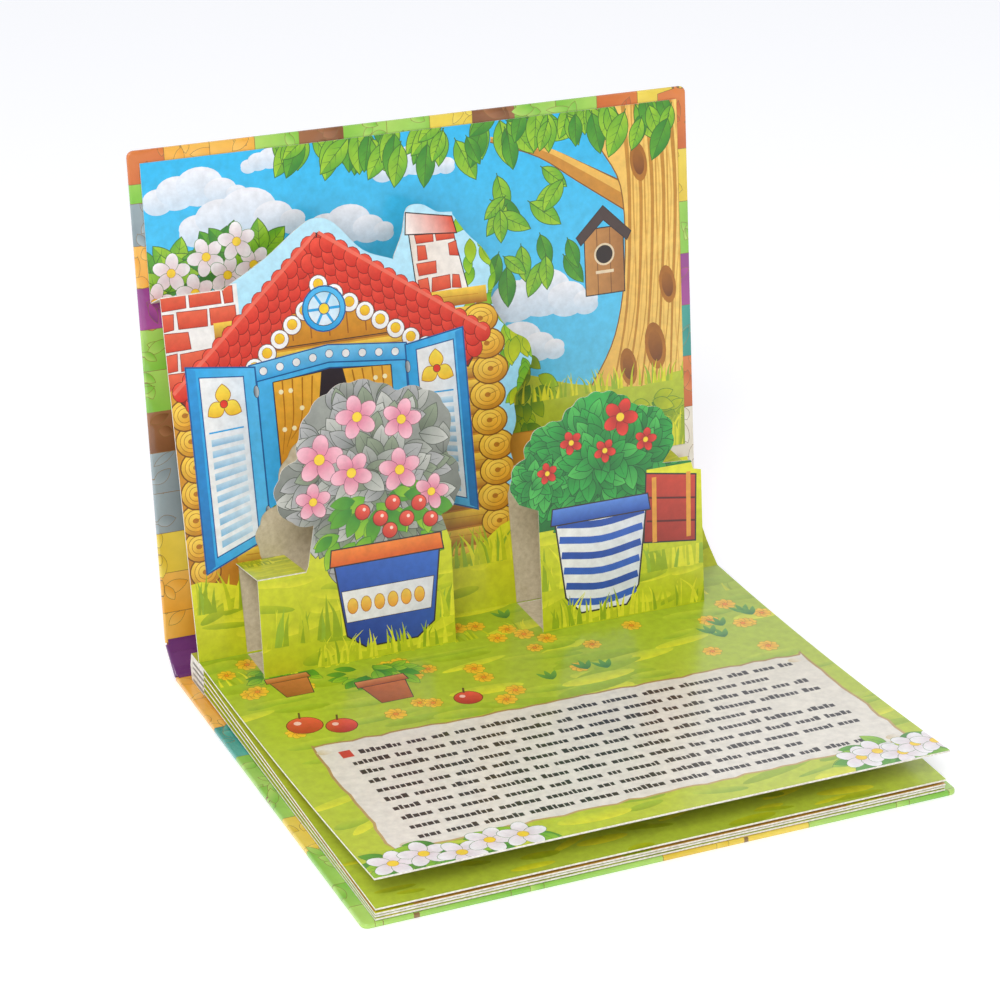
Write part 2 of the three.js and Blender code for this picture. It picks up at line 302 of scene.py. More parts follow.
def inside(points, outline):
    """Which points lie in an outline, by crossings of a ray along +x."""
    hit = np.zeros(len(points), bool)
    low, high = outline.min(0), outline.max(0)
    near = np.nonzero(np.all((points >= low) & (points <= high), axis=1))[0]
    if not len(near):
        return hit
    px, py = points[near, 0][:, None], points[near, 1][:, None]
    x0, y0 = outline[:, 0][None], outline[:, 1][None]
    x1, y1 = np.roll(x0, -1, 1), np.roll(y0, -1, 1)
    climb = np.where(y1 == y0, 1e-12, y1 - y0)
    crosses = ((y0 > py) != (y1 > py)) & (px < x0 + (py - y0) / climb * (x1 - x0))
    hit[near] = crosses.sum(1) % 2 == 1
    return hit


def die_cut(outline, holes, picture, grain):
    """Cuts a card along its outline, holes and printed shapes, on a grid of the given grain.
    Gives the flat points, the triangles and each triangle corner's colour."""
    outline = dense(outline, grain)
    holes = [dense(hole, grain) for hole in holes]
    low, high = outline.min(0), outline.max(0)
    runs = [outline, *holes]
    runs += [o for o in picture.outlines[1:] if np.all(o.max(0) > low) and np.all(o.min(0) < high)]
    nx, ny = np.maximum(np.ceil((high - low) / grain).astype(int), 1)
    gx, gy = np.meshgrid(np.linspace(low[0], high[0], nx + 1)[1:-1],
                         np.linspace(low[1], high[1], ny + 1)[1:-1])
    loose = np.stack([gx.ravel(), gy.ravel()], 1)
    points, edges, start = [], [], 0
    for run in runs:
        ids = start + np.arange(len(run))
        edges.append(np.stack([ids, np.roll(ids, -1)], 1))
        points.append(run)
        start += len(run)
    points = np.concatenate([*points, loose])
    edges = np.concatenate(edges).tolist()
    cut = delaunay_2d_cdt([Vector(p) for p in points], edges, [], 0, 1e-5, False)
    flat, triangles = np.array(cut[0]), np.array(cut[2])
    corners = flat[triangles]
    area = np.cross(corners[:, 1] - corners[:, 0], corners[:, 2] - corners[:, 0])
    middle = corners.mean(1)
    keep = inside(middle, outline) & (np.abs(area) > 1e-7)
    for hole in holes:
        keep &= ~inside(middle, hole)
    triangles, middle = triangles[keep], middle[keep]
    flip = area[keep] < 0
    triangles[flip] = triangles[flip][:, ::-1]
    colours = np.zeros((len(triangles), 3, 3))
    for shape, (near, far, turn) in zip(picture.outlines, picture.fills):
        picked = np.ones(len(triangles), bool) if shape is None else inside(middle, shape)
        way = heading(turn)
        span = (outline if shape is None else shape) @ way
        share = (flat[triangles[picked]] @ way - span.min()) / max(np.ptp(span), 1e-6)
        share = np.clip(share, 0, 1)[..., None]
        colours[picked] = near * (1 - share) + far * share
    used, fresh = np.unique(triangles, return_inverse=True)
    return flat[used], fresh.reshape(triangles.shape), colours


def carried_flat(start, angle, lift=0.0):
    """Carries a flat card to the plane that rises from a line at an angle above +Y, lifted off it
    along its face's normal."""
    turn = math.radians(angle)
    up = np.array([0, math.cos(turn), math.sin(turn)])
    out = np.array([0, -math.sin(turn), math.cos(turn)])

    def carry(flat):
        base = np.array([0, start[0], start[1]]) + flat[:, 1:2] * up + lift * out
        base[:, 0] += flat[:, 0]
        return base, np.tile(out, (len(flat), 1))
    return carry


def carried_curve(path, lift=0.0):
    """Carries a flat card along a smooth path of [y, z] points, by the length along it. Also gives
    the whole length, and the length up to each of the path's points."""
    fine = curve(path, False, 12)
    length = np.concatenate([[0], np.cumsum(np.linalg.norm(np.diff(fine, axis=0), axis=1))])
    way = np.gradient(fine, axis=0)
    way /= np.linalg.norm(way, axis=1)[:, None]

    def carry(flat):
        y, z = (np.interp(flat[:, 1], length, fine[:, i]) for i in (0, 1))
        cy, cz = (np.interp(flat[:, 1], length, way[:, i]) for i in (0, 1))
        normal = np.stack([0 * y, -cz, cy], 1)
        return np.stack([flat[:, 0], y, z], 1) + lift * normal, normal
    return carry, length[-1], lambda y: float(np.interp(y, fine[:, 0], length))


def finished(name, points, faces, tints, slots, materials, body):
    """The mesh of a piece, from points in millimetres with the printed colour of each face's corner and
    the number of each face's material. It rides on a body, if one is named."""
    mesh = bpy.data.meshes.new(name)
    mesh.from_pydata(((points + [0, SHIFT, 0]) * MM).tolist(), [], faces)
    mesh.attributes.new("print", "FLOAT_COLOR", "CORNER")
    opaque = np.column_stack([tints, np.ones(len(tints))]).astype(np.float32)
    mesh.attributes["print"].data.foreach_set("color", opaque.ravel())
    mesh.polygons.foreach_set("material_index", np.asarray(slots, np.int32))
    for material in materials:
        mesh.materials.append(material)
    mesh.shade_smooth()
    mesh.set_sharp_from_angle(angle=math.radians(35))
    mesh.validate()
    made = bpy.data.objects.new(name, mesh)
    scene.collection.objects.link(made)
    if body:
        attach(made, body)
    return made


def make_card(name, outline, picture, carry, thickness=CARD, holes=(), grain=8.0,
              rim=None, rim_printed=False, back=None, body="book", faces=(PRINT, REVERSE, EDGE)):
    """A closed card: its printed face, its rim and its reverse. rim is a list of (outwards, back)
    steps round the edge; back is the colour of a printed reverse."""
    flat, triangles, colours = die_cut(outline, holes, picture, grain)
    sides = np.concatenate([triangles[:, [0, 1]], triangles[:, [1, 2]], triangles[:, [2, 0]]])
    tints = np.concatenate([colours[:, [0, 1]], colours[:, [1, 2]], colours[:, [2, 0]]])
    count = len(flat)
    # A side that no other triangle shares is on the card's edge
    free = ~np.isin(sides[:, 0] * count + sides[:, 1], sides[:, 1] * count + sides[:, 0])
    rims, tints = sides[free], tints[free]
    run = flat[rims[:, 1]] - flat[rims[:, 0]]
    out = np.stack([run[:, 1], -run[:, 0]], 1) / (np.linalg.norm(run, axis=1)[:, None] + 1e-9)
    push = np.zeros((count, 2))
    np.add.at(push, rims[:, 0], out)
    np.add.at(push, rims[:, 1], out)
    size = np.linalg.norm(push, axis=1)
    push /= np.maximum(size, 1e-9)[:, None]
    push *= np.where(size > 0, 2 / np.maximum(size, 1.2), 0)[:, None]
    steps = rim or [(0.0, 0.0), (0.0, thickness)]
    layers = []
    for outwards, depth in steps:
        place, normal = carry(flat + push * outwards)
        layers.append(place - normal * depth)
    last = (len(steps) - 1) * count
    loops = [triangles, triangles[:, ::-1] + last]
    shade = [colours, np.tile(linear(back or "#ffffff"), (len(triangles), 3, 1))]
    slots = [np.zeros(len(triangles)), np.full(len(triangles), 0 if back else 1)]
    ta, tb = tints[:, 0], tints[:, 1]
    for i in range(len(steps) - 1):
        a, b = rims[:, 0] + i * count, rims[:, 1] + i * count
        c, d = b + count, a + count
        loops += [np.stack([b, a, d], 1), np.stack([b, d, c], 1)]
        shade += [np.stack([tb, ta, ta], 1), np.stack([tb, ta, tb], 1)]
        slots += [np.full(len(rims), 0 if rim_printed else 2)] * 2
    used, fresh = np.unique(np.concatenate(loops), return_inverse=True)
    return finished(name, np.concatenate(layers)[used], fresh.reshape(-1, 3).tolist(),
                    np.concatenate(shade).reshape(-1, 3), np.concatenate(slots), faces, body)


# Motifs that the pictures share
SKY, SKY_PALE, CLOUD, CLOUD_SHADE = "#2bbbee", "#6ed0f2", "#f3f3f7", "#cfe0ee"
GRASS, GRASS_LIGHT, GRASS_DEEP, MOSS = "#c6cf1c", "#e8e62e", "#9cb414", "#4c8526"
LEAF_LIGHT, LEAF_MID, LEAF_DARK = "#a5d02a", "#62ac24", "#2f8427"
OCHRE_LIGHT, OCHRE_DARK = "#fbd14a", "#a8621a"
RED, RED_DARK, BLUE, BLUE_DARK, WHITE = "#e63a26", "#8f1f17", "#2aa7e6", "#1b5c9c", "#f5f4f1"
YELLOW, PINK, BEIGE = "#fbd52d", "#f39ab4", "#b9ad94"
TUFTS = [(GRASS_DEEP, GRASS), (GRASS_LIGHT, GRASS)]
FRESH = [(LEAF_DARK, LEAF_MID), (LEAF_MID, LEAF_LIGHT)]
BLADES = [GRASS, GRASS_LIGHT, GRASS_DEEP]
TALL_BLADES = [*BLADES, "#9cbc2a"]


def foliage(picture, seed, middle, spread, count, size, colours, veins=False):
    """Leaves scattered in an ellipse, pointing outwards and down."""
    rng = np.random.default_rng(seed)
    for i in range(count):
        way, reach = rng.uniform(0, 2 * np.pi), math.sqrt(rng.uniform(0.02, 1))
        x = middle[0] + spread[0] * reach * math.cos(way)
        y = middle[1] + spread[1] * reach * math.sin(way)
        turn = math.degrees(math.atan2(y - middle[1] - spread[1], x - middle[0])) + rng.normal(0, 28)
        length = size * rng.uniform(0.75, 1.2)
        tone = colours[int(rng.integers(len(colours)))]
        picture.lay(leaf(x, y, length, length * 0.5, turn), *tone, turn, 0.25, MOSS)
        if veins:
            picture.stroke([(x, y), np.array([x, y]) + 0.85 * length * heading(turn)], 0.35, MOSS, 0.1)


def veined_leaf(picture, x, y, size, turn, tone, wide=0.46):
    """A broad leaf: one half darker than the other, with a midrib and slanting side veins."""
    along, across = heading(turn), heading(turn + 90)
    whole, foot = leaf(x, y, size, size * wide, turn), np.array([x, y])
    picture.lay(whole, *tone, turn, 0.35, "#3c6f22")
    picture.lay(np.concatenate([whole[:9], [foot]]), tone[1], tone[0], turn + 60)
    picture.stroke([foot - 0.08 * size * along, foot + 0.88 * size * along], 0.5, "#3c6f22", 0.15)
    for s in (0.25, 0.45, 0.65):
        for side in (-1, 1):
            root = foot + s * size * along
            tip = root + size * (0.15 * along + side * 0.3 * wide * across)
            picture.stroke([root, tip], 0.26, "#4a7f28", 0.1)


GOLDEN_ANGLE = 2.39996  # radians from one leaf to the next, which spreads them evenly


def layered_leaves(picture, seed, middle, spread, count, size, colours, line):
    """Leaves that cover an ellipse like tiles: rings from the outside in, each leaf pointing
    outwards, the inner ones on top."""
    rng = np.random.default_rng(seed)
    for i in range(count):
        reach = math.sqrt(1 - i / count)
        way = GOLDEN_ANGLE * i + rng.normal(0, 0.15)
        x, y = middle[0] + spread[0] * reach * math.cos(way), middle[1] + spread[1] * reach * math.sin(way)
        turn = math.degrees(way) + rng.normal(0, 24)
        length = size * rng.uniform(0.85, 1.25)
        tone = colours[int(rng.integers(len(colours)))]
        root = np.array([x, y]) - 0.6 * length * heading(turn)
        picture.lay(leaf(*root, length, 0.55 * length, turn), *tone, turn, 0.3, line)
        picture.stroke([root, root + 0.85 * length * heading(turn)], 0.4, line, 0.1)


def blossom(picture, x, y, radius, petal, core, count=5, turn=0.0, far=None, line=MOSS):
    """A flower of round petals, each a gradient from its root, with a round middle."""
    for i in range(count):
        way = turn + 360 * i / count
        middle = np.array([x, y]) + 0.58 * radius * heading(way)
        picture.lay(ring(*middle, 0.5 * radius, 0.36 * radius, way, 14), far or petal, petal, way, 0.2, line)
    picture.lay(ring(x, y, 0.24 * radius, count=12), core, line=0.15, ink=OCHRE_DARK)


def blades(picture, seed, x0, x1, base, height, count, colours):
    """Grass blades: curved strokes that taper to their tips."""
    rng = np.random.default_rng(seed)
    for x in np.sort(rng.uniform(x0, x1, count)):
        tall, lean = height * rng.uniform(0.5, 1.1), rng.normal(0, 0.28)
        low = base(x) if callable(base) else base
        points = [(x, low - 1.5), (x + 0.35 * lean * tall, low + 0.55 * tall), (x + lean * tall, low + tall)]
        picture.stroke(points, 0.16 * height, colours[int(rng.integers(len(colours)))], 0.1)


def meadow(picture, seed, x0, y0, x1, y1, count, size, colours):
    """Soft lengths of lighter and darker grass."""
    rng = np.random.default_rng(seed)
    for i in range(count):
        tone = colours[int(rng.integers(len(colours)))]
        picture.lay(ring(rng.uniform(x0, x1), rng.uniform(y0, y1), size * rng.uniform(0.6, 1.5),
                         size * rng.uniform(0.12, 0.3), rng.normal(0, 10), 16), *tone)


def cloud(picture, x, y, size):
    """Heaped discs, white over a bluish foot."""
    heaps = [(-1.2, 0, 0.5), (-0.55, 0.22, 0.68), (0.25, 0.35, 0.8), (0.95, 0.08, 0.56), (1.5, -0.08, 0.36)]
    for dx, dy, r in heaps:
        picture.lay(ring(x + dx * size, y + (dy - 0.16) * size, r * size, 0.72 * r * size), CLOUD_SHADE)
    for dx, dy, r in heaps:
        picture.lay(ring(x + dx * size, y + dy * size, r * size, 0.7 * r * size), CLOUD_SHADE, CLOUD)


def bricks(picture, seed, x0, y0, x1, y1, long=13.0, high=7.0):
    """Courses of red bricks with wide pale joints, some of them plastered over."""
    rng = np.random.default_rng(seed)
    for row, y in enumerate(np.arange(y0, y1 - 2, high + 1.6)):
        for x in np.arange(x0 - (row % 2) * long / 2, x1, long + 1.8):
            left, right = max(x, x0), min(x + long, x1)
            if right - left > 3 and rng.uniform() > 0.25:
                top = min(y + high, y1)
                wob = rng.uniform(-0.5, 0.5, (4, 2))
                picture.lay(box(left, y, right, top) + wob, "#d5482f", "#ec6a48", 90, 0.3, "#8f2d20")


def crown(middle, discs, start, stop, count, scallop=0.0):
    """The outline of heaped discs seen from a middle point: each ray's farthest crossing with a
    disc, with small scallops added."""
    t = np.radians(np.linspace(start, stop, count))
    way = np.stack([np.cos(t), np.sin(t)], 1)
    reach = np.zeros(count)
    for x, y, r in discs:
        to = np.array([x - middle[0], y - middle[1]])
        b = way @ to
        under = b ** 2 - (to @ to - r ** 2)
        far = np.where(under > 0, b + np.sqrt(np.maximum(under, 0)), 0)
        reach = np.maximum(reach, far)
    reach += scallop * np.abs(np.sin(13 * t))
    return np.array(middle) + way * reach[:, None]


def sky_picture():
    """Sky with clouds, a garland of leaves, blossom, an old trunk with a nest box, and bushes."""
    art = Picture(SKY_PALE, SKY)
    for x, y, size in ((-104, 196, 13), (-84, 182, 16), (-38, 172, 13), (-4, 197, 11), (52, 128, 17),
                       (40, 108, 14), (-70, 206, 7)):
        cloud(art, x, y, size)
    greens = [(LEAF_DARK, LEAF_MID), (LEAF_MID, LEAF_LIGHT), (LEAF_MID, LEAF_LIGHT)]
    foliage(art, 1, (-106, 158), (24, 10), 40, 12, [("#1f5c2b", "#3c8c30"), ("#256b33", "#4b9a35")])
    for i, (x, y) in enumerate(((-124, 160), (-114, 164), (-103, 162), (-95, 166), (-84, 160), (-118, 156),
                                (-90, 170), (-76, 166))):
        for turn in (55, 100, 150):
            veined_leaf(art, x, y, 15 + 2 * math.sin(3 * i), turn + 25 * math.sin(5 * i), greens[i % 3], 0.55)
    for x, y, turn in ((-116, 164, 10), (-100, 169, 40), (-91, 160, 0), (-106, 154, 25), (-79, 163, 50),
                       (-124, 152, 5), (-86, 174, 20)):
        blossom(art, x, y, 8, "#f8f4f3", YELLOW, 5, turn, "#e6cfd2")
    trunk = curve([(88, 213), (86, 198), (97, 176), (98, 140), (92, 108), (78, 84), (64, 66), (60, 44),
                   (130, 44), (134, 120), (130, 213)])
    bough = [(104, 168), (78, 184), (58, 196), (34, 204)]
    art.stroke(bough, 12, "#7d4c17", 2.4)
    art.stroke(bough, 10.8, "#cf8d30", 1.6)
    art.stroke([(104, 171), (78, 187), (58, 198), (34, 205)], 4.2, "#f0bb55", 0.8)
    art.lay(trunk, "#eeb04a", "#fbd672", 0, 0.6, "#8a5a1c")
    for i, x in enumerate(np.linspace(99, 126, 15)):
        sway = 2.6 * math.sin(i * 2.1)
        art.stroke([(x + sway, 214), (x + 2, 170), (x - 1 + sway, 120), (x - 9 + 0.5 * i, 84),
                    (x - 18 + i, 50)], 2.2 if i % 3 == 0 else 0.9,
                   ("#c58a2e", "#d49a3a", "#e9b554")[i % 3], 0.4)
    for x, y, w in ((106, 186, 4), (112, 100, 5), (98, 92, 4), (119, 128, 4)):
        for grow, tone in ((1.5, "#b8761f"), (1.0, "#7a4413")):
            art.lay(ring(x, y, 0.7 * w * grow, 1.5 * w * grow, 8), tone, "#a8671c")
    for i in range(20):
        rng = np.random.default_rng(900 + i)
        veined_leaf(art, 48 + rng.uniform(-20, 22), 170 + rng.uniform(-26, 22), rng.uniform(13, 19),
                    rng.uniform(200, 340), greens[i % 3])
    art.lay(box(78, 128, 97, 158), "#c98f4e", "#a9713a", 0, 0.5)
    for x in (84, 90.5):
        art.stroke([(x, 128), (x, 158)], 0.4, "#7d5228")
    art.lay([(74, 155), (87.5, 168), (101, 155), (99, 151.5), (87.5, 162), (76, 151.5)], "#4b3a35", line=0.4)
    art.lay(ring(87.5, 146, 4.2), "#2a1d18", line=0.9, ink="#e7d2ae")
    art.stroke([(83, 138), (92, 138)], 1.4, "#e7d2ae")
    bank = [(20, 60), (20, 92), (44, 96), (70, 88), (104, 82), (128, 84), (128, 40), (20, 40)]
    art.lay(curve(bank), GRASS_DEEP, "#c3cf3a")
    foliage(art, 3, (96, 66), (36, 12), 60, 10, [(GRASS_DEEP, GRASS), (MOSS, GRASS_DEEP)])
    foliage(art, 4, (40, 92), (13, 22), 44, 10, [(GRASS_DEEP, LEAF_LIGHT), (MOSS, GRASS_DEEP)])
    blades(art, 5, 60, 127, 52, 16, 110, BLADES)
    blades(art, 7, 36, 127, 84, 9, 60, [GRASS, GRASS_LIGHT, "#9cbc2a"])
    rng = np.random.default_rng(6)
    for x in np.arange(-66, 128, 8.5):
        deep = 9 + 7 * math.sin(x / 21 + 1) + (6 if x > 40 else 0)
        for k in range(3):
            turn = -90 + rng.normal(0, 30)
            size = rng.uniform(13, 21)
            tone = greens[int(rng.integers(3))]
            veined_leaf(art, x + rng.normal(0, 3), 216 - deep * k / 3, size, turn, tone)
    return art


def shingled_roof(art):
    """Two bands of round-ended shingles that meet at the ridge, each with a garland of daisies below."""
    apex = np.array([-54.0, 176.0])
    for end, side in (((-124.0, 116.0), 1), ((20.0, 124.0), -1)):
        along = end - apex
        length = float(np.linalg.norm(along))
        along /= length
        down = np.array([along[1], -along[0]]) * side
        down *= -1 if down[1] > 0 else 1
        art.lay([apex, end, end + 17 * down, apex + 17 * down * [0.0, 1.35]], RED_DARK, RED, 90, 0.6)
        for row, deep in enumerate((12.5, 8.6, 4.6, 0.8)):
            for s in np.arange(3 + 3.1 * (row % 2), length - 1, 6.4):
                at = apex + along * s + down * deep
                art.lay(ring(*at, 3.7, 4.2, 0, 14), "#cf2a1c", "#f4553e", 100, 0.28, "#7e1d14")
        art.stroke([apex + down * -1, end + down * -1], 1.6, "#f0705a")
        for s in np.arange(11, length - 2, 8.2):
            at = apex + along * s + down * 18.4
            art.lay(ring(*at, 4.0, count=16), WHITE, "#ffffff", 90, 0.4, "#7a4a3c")
            art.lay(ring(at[0], at[1] + 0.3, 2.2, count=12), "#f5b51f", YELLOW, 90, 0.2, "#b3701a")


def attic_light_and_window(art):
    """A round light with six bars over a wide window with a blue frame and ochre curtains."""
    art.lay(ring(-54, 144, 9.5), BLUE, "#58c0f2", 60, 0.6, BLUE_DARK)
    art.lay(ring(-54, 144, 7.2), "#e9f3fa", "#bfe6f7", 60, 0.3)
    for turn in (0, 60, 120):
        way = 7.2 * heading(turn)
        art.stroke([np.array([-54, 144]) - way, np.array([-54, 144]) + way], 1.2, BLUE)
    art.lay(ring(-54, 144, 2.2, count=14), YELLOW, line=0.4, ink=BLUE_DARK)
    frame = [(-88, 46), (-20, 46), (-19, 122), (-54, 126), (-87, 122)]
    opening = [(-80, 56), (-27, 56), (-26, 115), (-54, 118), (-80, 115)]
    lintel = [(-90, 117), (-54, 121), (-18, 117), (-18, 124), (-54, 128), (-90, 124)]
    art.lay(frame, BLUE, "#4cb9f0", 90, 0.7, BLUE_DARK)
    art.lay(opening, "#171419", "#2c2530", 90, 0.6, BLUE_DARK)
    for edge, fold, turn in ((-80, 1, 70), (-26, -1, 110)):
        hem = [(edge, 115.5), (edge + fold * 22, 117), (edge + fold * 19, 100), (edge + fold * 11, 86),
               (edge, 76)]
        art.lay(hem, "#d28a1c", "#f8bb3e", turn, 0.4)
        for k in range(4):
            x = edge + fold * (4 + 4.6 * k)
            pleat = [(x, 116), (x - fold * (0.5 + 0.8 * k), 98), (edge + fold * 2.2 * (k + 0.5), 84 + 3 * k)]
            art.stroke(pleat, 0.7, "#b97417", 0.3)
        for k in range(9):
            x, y = edge + fold * (3 + 4.4 * (k % 4)), 111 - 8.2 * (k // 2)
            if abs(x - edge) < 4 + 0.32 * (y - 78):
                art.lay(ring(x, y, 1.1, count=8), "#fff3c2")
    art.lay(lintel, "#2aa4e4", "#7fd0f5", 90, 0.6, BLUE_DARK)
    for x in np.arange(-84, -20, 7.6):
        art.lay(ring(x, 124.4 - abs(x + 54) * 0.11, 1.7, count=12), WHITE, line=0.25, ink=BLUE_DARK)


def open_shutter(art, left, right):
    """A shutter seen askew between two upright sides, each (x, foot, head): a blue frame, a white panel
    with louvres and a flower, and hinges on the side towards the window."""
    (x0, b0, t0), (x1, b1, t1) = left, right

    def at(u, v):
        return (1 - u) * np.array([x0, b0 + (t0 - b0) * v]) + u * np.array([x1, b1 + (t1 - b1) * v])
    art.lay(np.array([[x0, b0], [x1, b1], [x1, t1], [x0, t0]], float), BLUE, "#56bdf0", 0, 0.7, BLUE_DARK)
    hinged = 1 if x0 < -60 else 0
    outer, inner = 1 - hinged, 1 - hinged + 0.13 * (2 * hinged - 1)
    art.lay([at(outer, 0), at(inner, 0.01), at(inner, 0.99), at(outer, 1)], "#1d78c0", "#2f9adb")
    art.lay([at(.18, .05), at(.82, .05), at(.82, .95), at(.18, .95)], WHITE, "#e4edf4", 0, 0.5, BLUE_DARK)
    for v in np.linspace(0.08, 0.6, 10):
        art.lay([at(.26, v), at(.74, v), at(.74, v + .035), at(.26, v + .035)], "#7db9de", "#dceef8")
    art.stroke([at(.24, .67), at(.76, .67)], 0.7, BLUE)
    for v in (0.14, 0.86):
        art.lay(ring(*at(hinged, v), 1.1, 2.6, count=10), "#5d666d", "#cdd6dc", 0, 0.2)
    middle = at(.5, .81)
    for turn in (0, 120, 240):
        art.lay(leaf(*middle, 8.5, 6.5, 90 + turn), "#f7c325", "#ffe44d", 90, 0.3, OCHRE_DARK)
    art.lay(ring(*middle, 1.6, count=12), RED, line=0.25)


def house_picture():
    """A cottage: brick and logs under a red shingled gable, a wide window between louvred
    shutters, and grass along its foot."""
    art = Picture(SKY_PALE, "#bfe9f8")
    foliage(art, 11, (24, 150), (12, 40), 40, 11, [(GRASS_DEEP, LEAF_LIGHT), (LEAF_MID, LEAF_LIGHT)])
    foliage(art, 12, (36, 112), (9, 20), 26, 10, [(GRASS_DEEP, GRASS), (LEAF_MID, LEAF_LIGHT)])
    art.lay(box(-130, 100, -92, 160), "#e9e3dc", "#f5f1ec")
    bricks(art, 13, -128, 118, -94, 159)
    art.lay([(-10, 140), (14, 140), (8, 171), (-12, 173)], "#e9dccf", "#f6efe6", 0, 0.5)
    bricks(art, 14, -9, 138, 10, 170, 8, 5.5)
    art.lay([(-13.5, 171), (10, 169), (8.5, 176), (-12.5, 180)], "#e2502f", "#f6f0e8", 200, 0.5)
    wall = [(-126, 12), (22, 12), (22, 132), (-16, 140), (-55, 172), (-104, 134), (-126, 118)]
    art.lay(wall, "#b8741c", "#eead2e")
    for y in np.arange(14, 140, 8.2):
        art.lay(box(-104, y, 22, y + 7.4), OCHRE_DARK, OCHRE_LIGHT)
        art.stroke([(-100, y + 4.5), (-60, y + 3.9), (-20, y + 4.8), (18, y + 4)], 0.5, "#c98a24", 0.3)
    for i, y in enumerate(np.arange(16, 134, 11.4)):
        for x, wide in ((19.5 + 1.6 * math.sin(i * 1.7), 8.2), (-119.5 + 1.4 * math.sin(i * 1.3), 6.6)):
            if y < 108 or x > 0:
                art.lay(ring(x, y, wide, 6.4), "#c78318", "#fcd047", 110, 0.6, "#7a4a14")
                for share in (0.72, 0.46):
                    art.lay(ring(x, y, share * wide, share * 6.4), "#e7a628", "#fbd555", 110, 0.3, "#b8791f")
                art.lay(ring(x, y, 1.4, 1.1), "#b8741c")
                art.stroke([(x, y), (x + 0.7 * wide, y + 1.5)], 0.4, "#a8671a", 0.1)
    art.lay([(-98, 130), (-54, 164), (-10, 130)], "#cf871c", "#f2b638", 90, 0.6)
    for x in np.arange(-86, -22, 8.4):
        low, high = 132, 164 - abs(x + 54) * 0.88
        if high > low + 4:
            art.stroke([(x, low), (x, high)], 0.6, OCHRE_DARK)
    shingled_roof(art)
    attic_light_and_window(art)
    for left, right in (((-118, 38, 127), (-88, 50, 123)), ((-18, 56, 123), (9, 46, 127))):
        open_shutter(art, left, right)
    art.lay(box(-86, 42, -20, 54), "#c4752e", "#dd9547", 90, 0.5)
    foliage(art, 15, (-53, 58), (30, 4), 34, 8, FRESH)
    for x in (-78, -66, -40, -30):
        blossom(art, x, 61 + 2 * math.sin(x), 5, PINK, YELLOW, 5, x, "#e05f86")
    art.lay(curve([(-128, -4), (44, -4), (44, 30), (24, 38), (0, 26), (-40, 32), (-80, 24), (-128, 34)]),
            GRASS, GRASS_LIGHT)
    meadow(art, 16, -124, 2, 24, 24, 26, 10, TUFTS)
    blades(art, 17, -124, 40, 22, 15, 150, TALL_BLADES)
    return art


PLANT_DISCS = [(-56, 96, 27), (-33, 98, 19), (-79, 79, 15), (-28, 74, 17), (-52, 66, 22)]
TUB_DISCS = [(54, 82, 22), (32, 80, 14), (22, 70, 11), (74, 80, 15)]
PLANT_CROWN = crown((-52, 76), PLANT_DISCS, -28, 205, 90, 1.3)
TUB_CROWN = crown((52, 72), TUB_DISCS, 4, 190, 80, 1.3)
LEFT_OUTLINE = np.concatenate([[(-105, 0), (-16, 0), (-16, 46)], PLANT_CROWN,
                               [(-82, 46), (-83, 44), (-105, 44)]])
RIGHT_OUTLINE = np.concatenate([[(23, 0), (103, 0), (103, 62), (99, 63), (98, 67), (84, 68)], TUB_CROWN,
                                [(14, 60), (23, 56)]])


def plant_picture():
    """A flowering plant in a blue pot, standing in the grass: sage leaves, pink blossom and red
    berries."""
    art = Picture(GRASS, GRASS_LIGHT)
    meadow(art, 21, -104, 4, -16, 42, 26, 10, TUFTS)
    blades(art, 22, -104, -16, 14, 17, 70, TALL_BLADES)
    art.lay(grown(PLANT_CROWN, 0.4), "#6d726a", "#9a9d95")
    art.lay([(-74, 44), (-20, 44), (-20, 60), (-74, 62)], "#5e6a55", "#7d8675")
    sage = [("#6b7068", "#aeb0a8"), ("#80867c", "#cbcbc4"), ("#59634f", "#93a086"), ("#747975", "#b7b6b6")]
    layered_leaves(art, 23, (-52, 80), (38, 44), 150, 13, sage, "#4d5348")
    foliage(art, 24, (-46, 60), (26, 14), 40, 12, FRESH)
    for x, y, r, turn in ((-74, 92, 10, 10), (-56, 108, 9, 30), (-36, 104, 8.5, 0), (-60, 84, 9, 50),
                          (-38, 82, 9, 20), (-24, 70, 7.5, 0), (-78, 74, 7.5, 15)):
        blossom(art, x, y, r, "#f9c2d0", YELLOW, 5, turn, "#dd6f8f", "#8f4a5c")
    for x, y in ((-48, 62), (-42, 68), (-36, 60), (-30, 66), (-44, 56), (-56, 66), (-25, 58)):
        art.lay(ring(x, y, 3.3), "#c92a1e", "#f5644c", 60, 0.35, "#6d1510")
        art.lay(ring(x + 0.8, y + 1, 0.8, count=8), "#ffd9cc")
    pot = [(-70, 44), (-66, 12), (-58, 6), (-34, 6), (-26, 12), (-22, 44)]
    art.lay(pot, "#1f3f98", "#3a6fcf", 60, 0.7)
    art.lay([(-67.6, 32), (-66, 18), (-27, 18), (-25, 32)], WHITE, "#e3e3ea", 0, 0.3)
    for x in np.arange(-63, -26, 6.2):
        art.lay(ring(x, 25, 2.3, 3.4, count=14), "#f0a132", "#f7cf52", 90, 0.25, "#b3641a")
    art.lay([(-72, 44), (-20, 44), (-21, 51), (-71, 51)], "#e2601c", "#f98a35", 90, 0.6)
    blades(art, 25, -80, -16, 2, 11, 46, BLADES)
    return art


